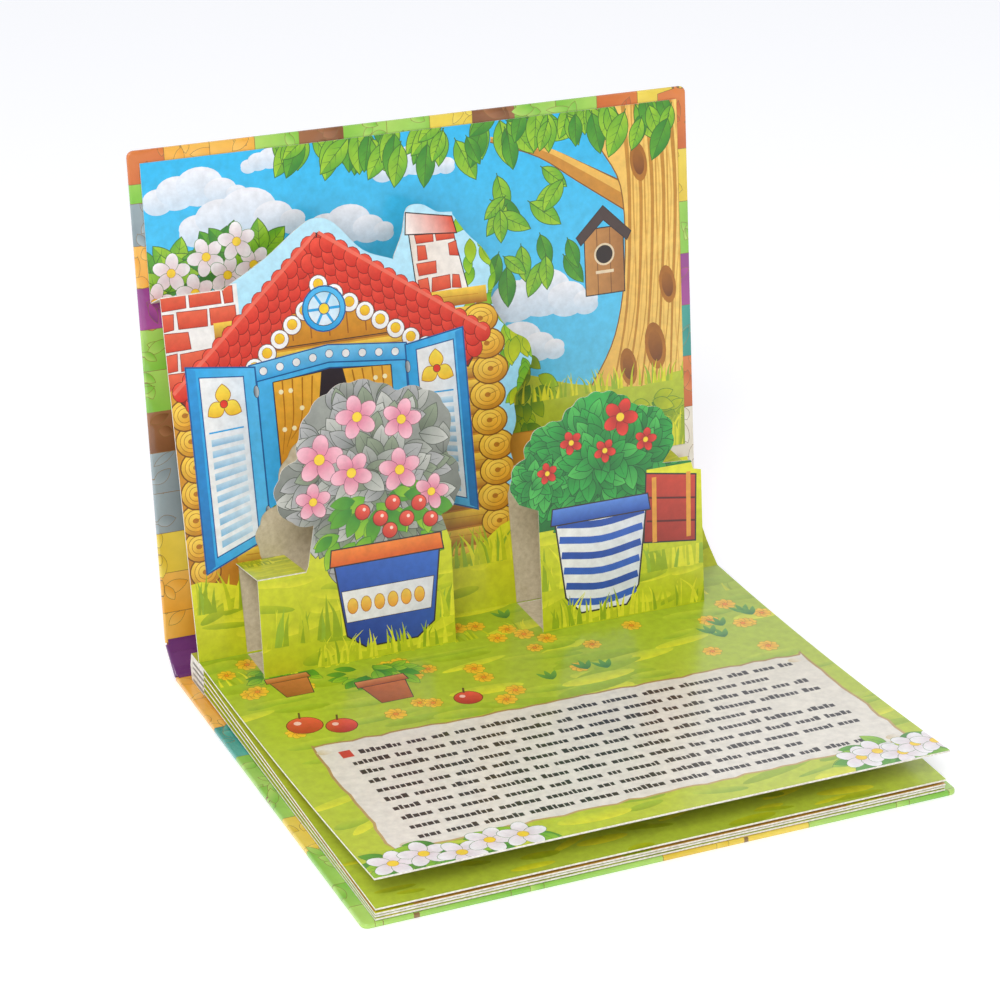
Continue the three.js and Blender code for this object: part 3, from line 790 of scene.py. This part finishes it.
def tub_picture():
    """A round green bush with a red flower in a striped tub, and a red crate beside it."""
    art = Picture(GRASS, GRASS_LIGHT)
    meadow(art, 31, 24, 4, 103, 60, 30, 9, TUFTS)
    blades(art, 32, 24, 103, 20, 18, 70, TALL_BLADES)
    art.lay(grown(TUB_CROWN, 0.4), "#1e8a3a", "#35b04a")
    art.lay(ring(22, 64, 12), "#1e8a3a", "#35b04a")
    greens = [("#14752f", "#2fae45"), ("#1d8a3a", "#52c355"), ("#0f6a2c", "#27993f")]
    art.lay(box(15, 46, 99, 74), "#14702d", "#1e8a3a")
    layered_leaves(art, 33, (52, 74), (42, 31), 130, 11, greens, "#0f5223")
    layered_leaves(art, 34, (23, 68), (11, 12), 30, 9, greens, "#0f5223")
    art.lay([(76, 66), (104, 66), (104, 28), (76, 28)], GRASS, GRASS_LIGHT)
    for x, y, r in ((64, 92, 8), (40, 84, 5), (56, 78, 5), (28, 72, 4.5), (76, 80, 5)):
        blossom(art, x, y, r, "#f0412e", YELLOW, 5, x, "#a81f1a", "#6d1510")
    crate = [(74, 33), (99, 30), (100, 60), (76, 64)]
    art.lay(crate, "#9c2a1f", "#d3452f", 60, 0.7)
    for v in (0.3, 0.65):
        art.stroke([(75 + v, 33 + 31 * v), (99.6, 30 + 30 * v)], 0.9, "#5d1712")
    for x in (79, 96):
        art.stroke([(x, 32), (x + 0.6, 62)], 2.2, "#e9a03a")
    tub = [(31, 50), (35, 14), (42, 6), (64, 6), (70, 14), (75, 50)]
    art.lay(tub, WHITE, "#dfe4ee", 0, 0.8)
    for i, y in enumerate(np.arange(11, 48, 7.2)):
        left, right = 35 - 4 * (y - 14) / 36, 70 + 5 * (y - 14) / 36
        sag = [(left + 0.4, y + 1), (0.5 * (left + right), y - 1.6), (right - 0.4, y + 1)]
        art.stroke(sag, 3.2, "#2451ae" if i % 2 else "#2f63c4")
    art.lay([(29, 48), (77, 48), (76, 55), (30, 55)], "#2451ae", "#5b8be0", 90, 0.6)
    blades(art, 35, 24, 104, 2, 12, 60, BLADES)
    return art


def bars_of_text(art, rng):
    """Ten lines of short dark bars in groups, as text looks from a step away."""
    for row in range(10):
        y = 98 - 8.4 * row
        x, stop = -98.0 if row else -92.0, rng.uniform(70, 108) if row not in (0, 3, 6) else 108.0
        while x < stop - 4:
            stop_word = x + min(rng.uniform(5, 19), stop - x)
            while x < stop_word:
                wide = rng.uniform(1.4, 2.5)
                tall = 3.6 if rng.uniform() > 0.8 else 2.7
                art.lay(box(x, y, x + wide, y + tall), "#2e2825")
                x += wide + 0.45
            x += 2.4


def floor_picture():
    """A meadow in front of the cottage: dandelions, pots and apples, a cream panel of text shown
    as plain bars, and blossom at the near corners."""
    art = Picture("#c3d133", "#a9c128")
    greens = [(GRASS_DEEP, "#a9c52d"), (GRASS_LIGHT, "#c3d236"), ("#93b526", "#c3d236")]
    meadow(art, 41, -126, 0, 126, 200, 150, 14, greens)
    blades(art, 42, -126, 126, 176, 9, 90, BLADES)
    rng = np.random.default_rng(43)
    for x, y in zip(rng.uniform(-120, 122, 40), rng.uniform(118, 196, 40)):
        r = 3.4 + 1.2 * rng.uniform()
        blossom(art, x, y, r, "#fbd02a", "#f08f1c", 8, 40 * rng.uniform(), "#f2a81f", "#a98a1a")
    for x, y in zip(rng.uniform(-20, 118, 9), rng.uniform(122, 190, 9)):
        for turn in (60, 90, 120):
            art.lay(leaf(x, y, 9, 2.6, turn), "#2f7a3a", "#6fae3a", turn)
    for x, y, s in ((-60, 150, 1.0), (-96, 168, 0.85)):
        foliage(art, int(200 + x), (x, y + 12 * s), (13 * s, 9 * s), 30, 10 * s,
                FRESH, True)
        art.lay([(x - 10 * s, y + 3), (x - 7 * s, y - 14 * s), (x + 7 * s, y - 14 * s), (x + 10 * s, y + 3)],
                "#9c4a22", "#d87a42", 60, 0.4)
        brim = [(x - 11.5 * s, y + 2), (x + 11.5 * s, y + 2), (x + 11 * s, y + 7 * s),
                (x - 11 * s, y + 7 * s)]
        art.lay(brim, "#b45a2a", "#e58f55", 90, 0.4)
    for x, y, r in ((-104, 130, 7.5), (-90, 124, 6.5), (-32, 126, 6.0)):
        art.lay(ring(x, y, r, 0.92 * r), "#b51f18", "#f0523c", 70, 0.4, "#6d1510")
        art.lay(ring(x - 0.3 * r, y + 0.35 * r, 0.22 * r, count=10), "#ffc9b8")
        art.stroke([(x, y + 0.8 * r), (x + 1.5, y + 1.5 * r)], 0.9, "#5a3a1c")
    x, y = np.concatenate([np.linspace(-110, 117, 40), np.linspace(117, 117, 16), np.linspace(117, -108, 40),
                           np.linspace(-108, -110, 16)]), np.concatenate(
        [np.full(40, 17.0), np.linspace(17, 106, 16), np.linspace(106, 110, 40), np.linspace(110, 17, 16)])
    rough = np.stack([x, y], 1) + rng.uniform(-0.9, 0.9, (112, 2))
    art.lay(grown(rough, 1.2), "#c9a96a", "#b08a4c")
    art.lay(rough, "#efe8da", "#e8e0cf")
    for cx, cy in ((-104, 20), (112, 21), (112, 102), (-105, 105)):
        art.lay(ring(cx, cy, 3.4, 2.2), "#d8c397", "#efe8da", 30)
    bars_of_text(art, rng)
    art.lay(box(-100, 97, -95, 103), "#d23b2a")
    for cx, cy, wide in ((-88, 8, 34), (108, 10, 22)):
        foliage(art, int(300 + cx), (cx, cy), (wide, 8), 44, 13, FRESH, True)
        for k in range(5):
            blossom(art, cx + wide * (-0.8 + 0.4 * k), cy + 3 * math.sin(2.3 * k), 9.5, "#fbf9f7",
                    YELLOW, 5, 20 * k, "#ead9dc")
    return art


def grass_picture(seed, x0, y0, x1, y1, far=GRASS_LIGHT):
    """Plain printed grass."""
    art = Picture(GRASS, far)
    meadow(art, seed, x0, y0, x1, y1, 22, 9, TUFTS)
    blades(art, seed + 1, x0, x1, 0.5 * (y0 + y1), 9, int((x1 - x0) * 0.7), BLADES)
    return art


def ledge_picture():
    """Brickwork that carries on over the ledge beside the gable."""
    art = Picture("#efe9e2", "#e2dad2")
    bricks(art, 71, -126, 0, -98, 40)
    return art


def margin_picture(seed, runs, ground, half, depth):
    """The printed paper inside a cover, of which only the margin shows: runs of colour along the
    left, far and right edges, each with a wavy end, and a few leaves over them."""
    art = Picture(*ground)
    rng = np.random.default_rng(seed)
    edges = {"left": ((-half, 0), (0, 1), depth), "far": ((-half, depth), (1, 0), 2 * half),
             "right": ((half, 0), (0, 1), depth)}
    for side, tones in runs.items():
        start, way, length = edges[side]
        start, way = np.array(start, float), np.array(way, float)
        inward = np.array([way[1], -way[0]]) * (-1 if side == "right" else 1)
        stops = np.linspace(0, length, len(tones) + 1)
        for i, (tone, a, b) in enumerate(zip(tones, stops[:-1], stops[1:])):
            b += rng.uniform(-3, 3)
            near, far = start + way * (a - 4), start + way * b
            wave = [near - inward * 4, far - inward * 4, far + inward * 5 + way * rng.uniform(-4, 4),
                    far + inward * 14, near + inward * 14]
            art.lay(wave, *tone, rng.uniform(0, 180), 0.25, "#8a6a3a")
            for k in range(3):
                spot = near + way * rng.uniform(4, max(b - a, 6)) + inward * rng.uniform(-1, 6)
                sprig = leaf(*spot, rng.uniform(6, 13), rng.uniform(3, 6), rng.uniform(0, 360))
                art.lay(sprig, *tone[::-1], 45, 0.18, "#8a6a3a")
    return art


def rounded(outline_half, low, high, radius, inset):
    """A board's outline with two rounded free corners, drawn in by its rim."""
    h, r = outline_half - inset, radius - inset
    top = high - inset
    t = np.linspace(0, np.pi / 2, 7)
    right = np.stack([h - r + r * np.cos(t), top - r + r * np.sin(t)], 1)
    left = np.stack([-h + r - r * np.sin(t), top - r + r * np.cos(t)], 1)
    return np.concatenate([[(-h, low + inset), (h, low + inset)], right, left])


def rim_steps(radius, thickness, count=4):
    """A rim that turns over from the front face to the back face round two quarter circles."""
    t = np.linspace(0, np.pi / 2, count)
    front = [(radius * math.sin(a), radius * (1 - math.cos(a))) for a in t]
    return front + [(o, thickness - d) for o, d in front[::-1]]


def extruded(name, profile, x0, x1, body, material, tone="#ffffff", end_material=None):
    """A closed [y, z] profile carried along X, with flat ends."""
    profile = np.asarray(profile, float)
    n = len(profile)
    stations = np.linspace(x0, x1, 9)
    points = np.concatenate([np.column_stack([np.full(n, x), profile]) for x in stations])
    i = np.arange(n)
    j = (i + 1) % n
    quads = np.concatenate([np.stack([i + k * n, j + k * n, j + (k + 1) * n, i + (k + 1) * n], 1)
                            for k in range(len(stations) - 1)])
    area = np.sum(profile[:, 0] * profile[j, 1] - profile[j, 0] * profile[:, 1])
    if area < 0:
        quads = quads[:, ::-1]
    start = i if area < 0 else i[::-1]
    stop = (i[::-1] if area < 0 else i) + (len(stations) - 1) * n
    faces = [*quads.tolist(), start.tolist(), stop.tolist()]
    return finished(name, points, faces, np.tile(linear(tone), (sum(map(len, faces)), 1)),
                    [0] * len(quads) + [1, 1], (material, end_material or material), body)


def turned_strip(path, thickness):
    """The closed profile of a strip whose upper face follows a path."""
    path = np.asarray(path, float)
    way = np.diff(path, axis=0)
    way /= np.linalg.norm(way, axis=1)[:, None]
    normal = np.stack([way[:, 1], -way[:, 0]], 1)
    mean = np.concatenate([normal[:1], normal[:-1] + normal[1:], normal[-1:]])
    mean /= np.linalg.norm(mean, axis=1)[:, None]
    paired = np.concatenate([normal[:1], normal[1:], normal[-1:]])
    reach = thickness / np.clip(np.sum(mean * paired, 1), 0.3, 1)
    return np.concatenate([path, (path + mean * reach[:, None])[::-1]])


# Boards: grey board wrapped in laminated paper, with rounded rims
WRAP = (COVER_PRINT, COVER_PRINT, COVER_PRINT)
RIM = 0.7
HALF_COVER = COVER_WIDTH / 2
COVER_ANGLE = 90 - LEAN
COVERING, LINING = "#d8861c", "#6d2f74"
LIME, AMBER, RUST = ("#7cc23a", "#b6dc6a"), ("#f0a52e", "#f9c660"), ("#c9602a", "#e58a48")
UMBER, SLATE, GOLD = ("#7a4a26", "#a8714a"), ("#7d8e94", "#a9b8bc"), ("#e3c02c", "#f5dd5e")
PLUM, TEAL, IVORY = ("#b44f9f", "#8a3f86"), ("#1f8f86", "#57b7a5"), ("#e9dfc9", "#f7f0e2")
front_runs = {"left": [AMBER, AMBER, GOLD, SLATE, SLATE, UMBER, LIME, LIME, PLUM, AMBER, SLATE, LIME],
              "far": [RUST, AMBER, AMBER, LIME, UMBER, LIME, LIME, GOLD, UMBER, LIME, LIME, RUST, GOLD],
              "right": [AMBER, IVORY, IVORY, RUST, TEAL, PLUM, LIME, GOLD, RUST]}
back_runs = {"left": [AMBER, AMBER, TEAL, LIME, LIME, GOLD, LIME, LIME], "far": [LIME, LIME, GOLD, LIME],
             "right": [LIME, GOLD, LIME, LIME]}
cover_outline = rounded(HALF_COVER, HINGE_GAP, COVER_DEPTH, 3, RIM)


def board(name, replaced, body, outline, picture, carry, outside):
    """A board with rounded, printed rims, in the place of a node."""
    made = make_card(name, outline, picture, carry, BOARD, rim=rim_steps(RIM, BOARD), rim_printed=True,
                     back=outside, body=body, faces=WRAP, grain=20)
    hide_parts(replaced)


def laid_down(flat):
    """Carries the back cover's outline to its upper face, with the hinge at the far edge."""
    return (np.column_stack([flat[:, 0], -flat[:, 1], np.full(len(flat), BOARD)]),
            np.tile([0.0, 0, 1], (len(flat), 1)))


front_margin = margin_picture(81, front_runs, AMBER, HALF_COVER, COVER_DEPTH)
back_margin = margin_picture(82, back_runs, LIME, HALF_COVER, COVER_DEPTH)
spine_outline = box(-HALF_COVER + RIM, HINGE_GAP + RIM, HALF_COVER - RIM, SPINE_WIDTH - HINGE_GAP - RIM)
board("front_board", "front_cover", "cover", cover_outline, front_margin,
      carried_flat(SPINE_TOP, COVER_ANGLE), COVERING)
board("back_board", "back_cover", "book", cover_outline, back_margin, laid_down, COVERING)
board("spine_board", "spine", "spine", spine_outline, Picture(LINING, "#8a4190", 0),
      carried_flat(HINGE, SPINE_ANGLE), LINING)

# The first sheet: its upper half on the front cover, its lower half folded into the scene
half = HALF_SHEET
ledge_y, tub_ledge_y = ((z - SPINE_TOP[1]) / math.cos(math.radians(LEAN)) for z in (164.0, 81.5))
sky_outline = [(-half, 212.2), (-half, ledge_y), (-98, ledge_y), (-54, 162), (-20, 140), (-12, 162), (9, 157),
               (23, 138), (28, 106), (41, 96), (36, 77), (36, tub_ledge_y), (103, tub_ledge_y), (103, 51),
               (half, 51), (half, 212.2)]
sky_start = rise(SPINE_TOP, 180 - LEAN, 0.7)
sky = make_card("sky_page", sky_outline[::-1], sky_picture(), carried_flat(sky_start, COVER_ANGLE),
                body="cover")
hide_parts("sky_page")

FLOOR_PATH = [(-217, 21.4), (-190, 19.7), (-150, 17.8), (-110, 16.6), (-75, 16.2), (-45, 16.3), GUTTER]
PLY = LEAF / 2
carry_floor, floor_length, along_floor = carried_curve(FLOOR_PATH)
carry_lower, _, _ = carried_curve(FLOOR_PATH, -PLY)
PLAIN = (REVERSE, REVERSE, EDGE)
backing = Picture(BEIGE)
folded_out = [box(x0 + 1, along_floor(y + 1), x1 - 1, floor_length - 0.6)
              for y, x0, x1 in ((LEFT_BASE[0], -105, -16), (RIGHT_BASE[0], 23, 103))]
SPREAD = []


def folded(*card, **more):
    """A card that belongs to the folded sheet."""
    SPREAD.append(make_card(*card, **more))


folded("floor_page", box(-half, 0, half, floor_length), floor_picture(), carry_floor,
       PLY - 0.02, folded_out, rim=[(0.0, 0.0), (0.0, PLY - 0.02)])
folded("floor_page_ply", box(-half, 0, half, floor_length), backing, carry_lower, PLY,
       faces=PLAIN)
house_outline = np.concatenate([
    [(-half, 0), (24, 0), (24, 50)],
    curve([(24, 50), (27, 57), (28, 64), (27, 72), (31, 82), (31, 92), (36, 99), (41, 108), (40, 117),
           (33, 122), (28, 128), (24, 138), (27, 148), (23, 159), (15, 168), (9, 177)], False),
    curve([(9, 178), (2, 179), (-5, 183), (-12, 182), (-15, 172), (-20, 162)], False),
    curve([(-20, 161), (-34, 167), (-46, 180), (-54, 183), (-62, 180), (-78, 169), (-98, HOUSE_HEIGHT)],
          False),
    [(-half, HOUSE_HEIGHT)]])
left_front = rise(LEFT_BASE, STEP_ANGLE, LEFT_HEIGHT)
lowered = LEFT_HEIGHT + math.dist(left_front, LEFT_REAR) - math.dist(GUTTER, LEFT_REAR)
wall_holes = [box(-104, 0.6, -17, math.dist(GUTTER, LEFT_REAR) - 1), box(-82, 36, -16, 62),
              PLANT_CROWN - [0, lowered]]
carry_wall = carried_flat(GUTTER, HOUSE_ANGLE)
folded("house_wall", house_outline, house_picture(), carry_wall, PLY - 0.02, wall_holes)
ply_outline = np.concatenate([[(-half, 0), (103, 0), (103, 62), (28, 62)], house_outline[8:]])
folded("house_wall_ply", ply_outline, backing, carried_flat(GUTTER, HOUSE_ANGLE, -PLY), PLY,
       faces=PLAIN)


def plane_between(a, b):
    """The angle above +Y and the distance from one [y, z] point to another."""
    return math.degrees(math.atan2(b[1] - a[1], b[0] - a[0])), math.dist(a, b)


def cover_face(z, gap):
    """The front cover's inner face at a height, less a gap."""
    return SPINE_TOP[0] + (z - SPINE_TOP[1]) * math.tan(math.radians(LEAN)) - gap


ledge_front = rise(GUTTER, HOUSE_ANGLE, HOUSE_HEIGHT)
angle, deep = plane_between(ledge_front, (cover_face(164.0, 1.0), 164.0))
folded("top_ledge", box(-half, 0, -98, deep), ledge_picture(), carried_flat(ledge_front, angle),
       body="cover")
folded("plant_step", LEFT_OUTLINE, plant_picture(), carried_flat(LEFT_BASE, STEP_ANGLE))
angle, deep = plane_between(left_front, LEFT_REAR)
folded("plant_step_top", box(-105, 0, -83, deep + CARD), grass_picture(91, -105, 0, -83, 40),
       carried_flat(left_front, angle))
folded("tub_step", RIGHT_OUTLINE, tub_picture(), carried_flat(RIGHT_BASE, STEP_ANGLE))
right_front = rise(RIGHT_BASE, STEP_ANGLE, RIGHT_HEIGHT)
angle, deep = plane_between(right_front, (cover_face(81.5, 1.0), 81.5))
folded("tub_step_top", box(79, 0, 99, deep), grass_picture(93, 79, 0, 99, 50),
       carried_flat(right_front, angle), body="cover")
carry_strip, strip_length, _ = carried_curve([GUTTER, (-7, 24.5), (2.5, 34), (9.5, 45), (15.6, 58)])
folded("right_strip", box(104, 0, half, strip_length), grass_picture(95, 104, 0, half, 50),
       carry_strip)
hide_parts("open_spread")

# The closed spreads underneath
BLOCK_REAR = -6.0
LEAVES = [[(-216.6, 3.3), (-120, 3.4), (-30, 4.2), (BLOCK_REAR - 2, 4.2)],
          [(-216.3, 4.5), (-120, 5.6), (-30, 7), (BLOCK_REAR - 2, 7)],
          [(-216.5, 5.7), (-120, 7.8), (-30, 9.8), (BLOCK_REAR - 2, 9.8)],
          [(-216.8, 7.9), (-150, 8.9), (-60, 11.4), (-30, 12.4), (BLOCK_REAR - 2, 12.4)]]
leaf_tones = ["#c9d94a", "#b5cf3c", "#d1a13c", "#bcd23e"]
for number, (path, tone) in enumerate(zip(LEAVES, leaf_tones), 1):
    carry_leaf, length, _ = carried_curve(path)
    art = Picture(tone, GRASS)
    meadow(art, 100 + number, -125, 0, 125, 40, 40, 9, TUFTS)
    leaf_card = make_card(f"leaf_{number}", box(-HALF_BLOCK, 0, HALF_BLOCK, length), art, carry_leaf, LEAF,
                          back="#d8c06a")
    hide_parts("page_block")
stack = [(-22, 2.5), (BLOCK_REAR, 2.5), (BLOCK_REAR + 1.5, 9), (BLOCK_REAR, 15.4), (-22, 15.4)]
extruded("gutter_folds", stack, -HALF_BLOCK, HALF_BLOCK, "book", PRINT, "#b9c44a", EDGE)
for name, path, x0, x1 in (("folded_card_1", [(-20, 12.6), (-138, 11.1), (-44, 14.7)], -122, 96),
                           ("folded_card_2", [(-54, 12.3), (-108, 12.2), (-66, 13)], -119, 40)):
    extruded(name, turned_strip(path, CARD), x0, x1, "book", PRINT, "#b8472c", EDGE)


def outer(start, angle, distance, depth):
    """The [y, z] point at a distance along a board and a depth behind its inner face."""
    turn = math.radians(angle)
    return rise((start[0] + depth * math.sin(turn), start[1] - depth * math.cos(turn)), angle, distance)


def hinge_strip(name, path, tone, start, end):
    """Paper that follows a path of [y, z] points over a hinge. Its start and end points are worked out in
    metres but not used."""
    strip = extruded(name, turned_strip(path, 0.12), -HALF_COVER + 1, HALF_COVER - 1, None, COVER_PRINT, tone)
    start, end = ((0, (y + SHIFT) * MM, z * MM) for y, z in (start, end))
    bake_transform(strip)


# Purple paper carries over both hinges inside, and the covering paper outside, where it bulges a
# little over the gap between the boards
lining = [(-1.7, 2.36), (-1.1, 2.42), (-0.1, 2.7), rise(HINGE, SPINE_ANGLE + 9, 1.6),
          rise(HINGE, SPINE_ANGLE + 3, 4.5)]
hinge_strip("lower_hinge_lining", lining, LINING, (-1.6, 2.2), (1.6, 3.6))
bottom = [(-1.6, 0.06), (-0.4, 0.02), outer(HINGE, 0.25 * SPINE_ANGLE, 0.1, 2.05),
          outer(HINGE, 0.5 * SPINE_ANGLE, 0.15, 2.1), outer(HINGE, 0.75 * SPINE_ANGLE, 0.2, 2.1),
          outer(HINGE, SPINE_ANGLE, 0.4, 2.14), outer(HINGE, SPINE_ANGLE, 1.6, 2.1)]
hinge_strip("lower_hinge_covering", bottom[::-1], COVERING, (-0.5, 0.2), (1.9, 1.0))
back = [outer(SPINE_TOP, SPINE_ANGLE, -1.6, 2.1), outer(SPINE_TOP, SPINE_ANGLE, -0.4, 2.14)]
back += [outer(SPINE_TOP, SPINE_ANGLE + (COVER_ANGLE - SPINE_ANGLE) * k / 4, 0.15, 2.12) for k in range(5)]
back += [outer(SPINE_TOP, COVER_ANGLE, 0.5, 2.14), outer(SPINE_TOP, COVER_ANGLE, 1.6, 2.1)]
hinge_strip("upper_hinge_covering", back[::-1], COVERING,
            outer(SPINE_TOP, SPINE_ANGLE, -0.6, 2.1), outer(SPINE_TOP, COVER_ANGLE, 0.6, 2.1))
# Each point of the lining: its angle, its distance from the hinge and its lift off the board
face = [outer(SPINE_TOP, a, distance, -lift)
        for a, distance, lift in ((SPINE_ANGLE, -4.5, 0.16), (SPINE_ANGLE, -1.2, 0.3),
                                  (COVER_ANGLE, 0.9, 0.3), (COVER_ANGLE, 1.9, 0.16))]
hinge_strip("upper_hinge_lining", curve(face, False, 4), LINING, face[1], face[2])

# Each piece of the folded sheet gets a mesh of its own; the two strips glued to the front cover ride on it.
# The tilts below, in degrees, for the wall and the strip in the gutter are not used
sinking = {"house_wall": 8.2, "house_wall_ply": 8.2, "right_strip": 21.0}
for piece in SPREAD:
    tilt = math.radians(sinking.get(piece.name, 0))
    if piece.name in ("top_ledge", "tub_step_top"):
        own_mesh(piece)
    elif tilt:
        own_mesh(piece)
    else:
        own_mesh(piece)

# Camera, placed by fitting the covers and creases to the photograph
CAMERA = {"place": (-0.486453, -1.019115, 0.610664), "yaw": 24.744, "pitch": 24.335, "roll": 0.898,
          "lens": 107.565}
yaw, pitch, roll = (math.radians(CAMERA[k]) for k in ("yaw", "pitch", "roll"))
ahead = Vector((math.sin(yaw) * math.cos(pitch), math.cos(yaw) * math.cos(pitch), -math.sin(pitch)))
right = Vector((math.cos(yaw), -math.sin(yaw), 0))
above = right.cross(ahead)
turned_right = right * math.cos(roll) + above * math.sin(roll)
turned_above = above * math.cos(roll) - right * math.sin(roll)
lens = bpy.data.cameras.new("camera")
lens.lens = CAMERA["lens"]
lens.sensor_width = 36
lens.clip_end = 20
camera = bpy.data.objects.new("camera", lens)
camera.matrix_world = Matrix.Translation(CAMERA["place"]) @ Matrix(
    (turned_right, turned_above, -ahead)).transposed().to_4x4()
scene.collection.objects.link(camera)
scene.camera = camera
scene.view_settings.view_transform = "Standard"

# White sweep, softboxes and a bright room
paper = bpy.data.materials.new("white_studio_paper")
paper.use_nodes = True
tree = paper.node_tree
tree.nodes.clear()
diffuse = node(tree, "ShaderNodeBsdfDiffuse", Color=(0.9, 0.9, 0.9, 1))
glow = node(tree, "ShaderNodeEmission", Color=(1, 1, 1, 1), Strength=0.3)
both = node(tree, "ShaderNodeAddShader", {0: diffuse.outputs[0], 1: glow.outputs[0]})
node(tree, "ShaderNodeOutputMaterial", {"Surface": both.outputs[0]})
mesh = bpy.data.meshes.new("studio_floor")
mesh.from_pydata([(-6, -6, 0), (6, -6, 0), (6, 6, 0), (-6, 6, 0)], [], [(0, 1, 2, 3)])
mesh.materials.append(paper)
ground = bpy.data.objects.new("studio_floor", mesh)
scene.collection.objects.link(ground)

world = bpy.data.worlds.new("studio")
scene.world = world
world.use_nodes = True
tree = world.node_tree
tree.nodes.clear()
path = node(tree, "ShaderNodeLightPath")
# The room is dark behind the camera and bright over and behind the book
way = node(tree, "ShaderNodeSeparateXYZ", {0: node(tree, "ShaderNodeTexCoord").outputs["Generated"]})
room = node(tree, "ShaderNodeMapRange", {"Value": way.outputs["Y"]},
            **{"From Min": -0.5, "From Max": 0.6, "To Min": 0.3, "To Max": 1.0})
dim = node(tree, "ShaderNodeBackground", {"Strength": room.outputs["Result"]},
           Color=(*linear("#f6f8ff"), 1))
bright = node(tree, "ShaderNodeBackground", Color=(1, 1, 1, 1), Strength=1.0)
mixed = node(tree, "ShaderNodeMixShader", {0: path.outputs["Is Camera Ray"], 1: dim.outputs[0],
                                           2: bright.outputs[0]})
node(tree, "ShaderNodeOutputWorld", {"Surface": mixed.outputs[0]})

for name, place, aim, size, power in (("key", (-0.9, -1.3, 1.5), (0, 0, 0.08), 0.9, 24.0),
                                      ("fill", (1.2, -0.9, 0.9), (0, 0, 0.1), 1.2, 3.0)):
    lamp = bpy.data.lights.new(name, "AREA")
    lamp.size = size
    lamp.energy = power
    lit = bpy.data.objects.new(name, lamp)
    way = Vector(aim) - Vector(place)
    lit.matrix_world = Matrix.Translation(place) @ way.to_track_quat("-Z", "Y").to_matrix().to_4x4()
    scene.collection.objects.link(lit)
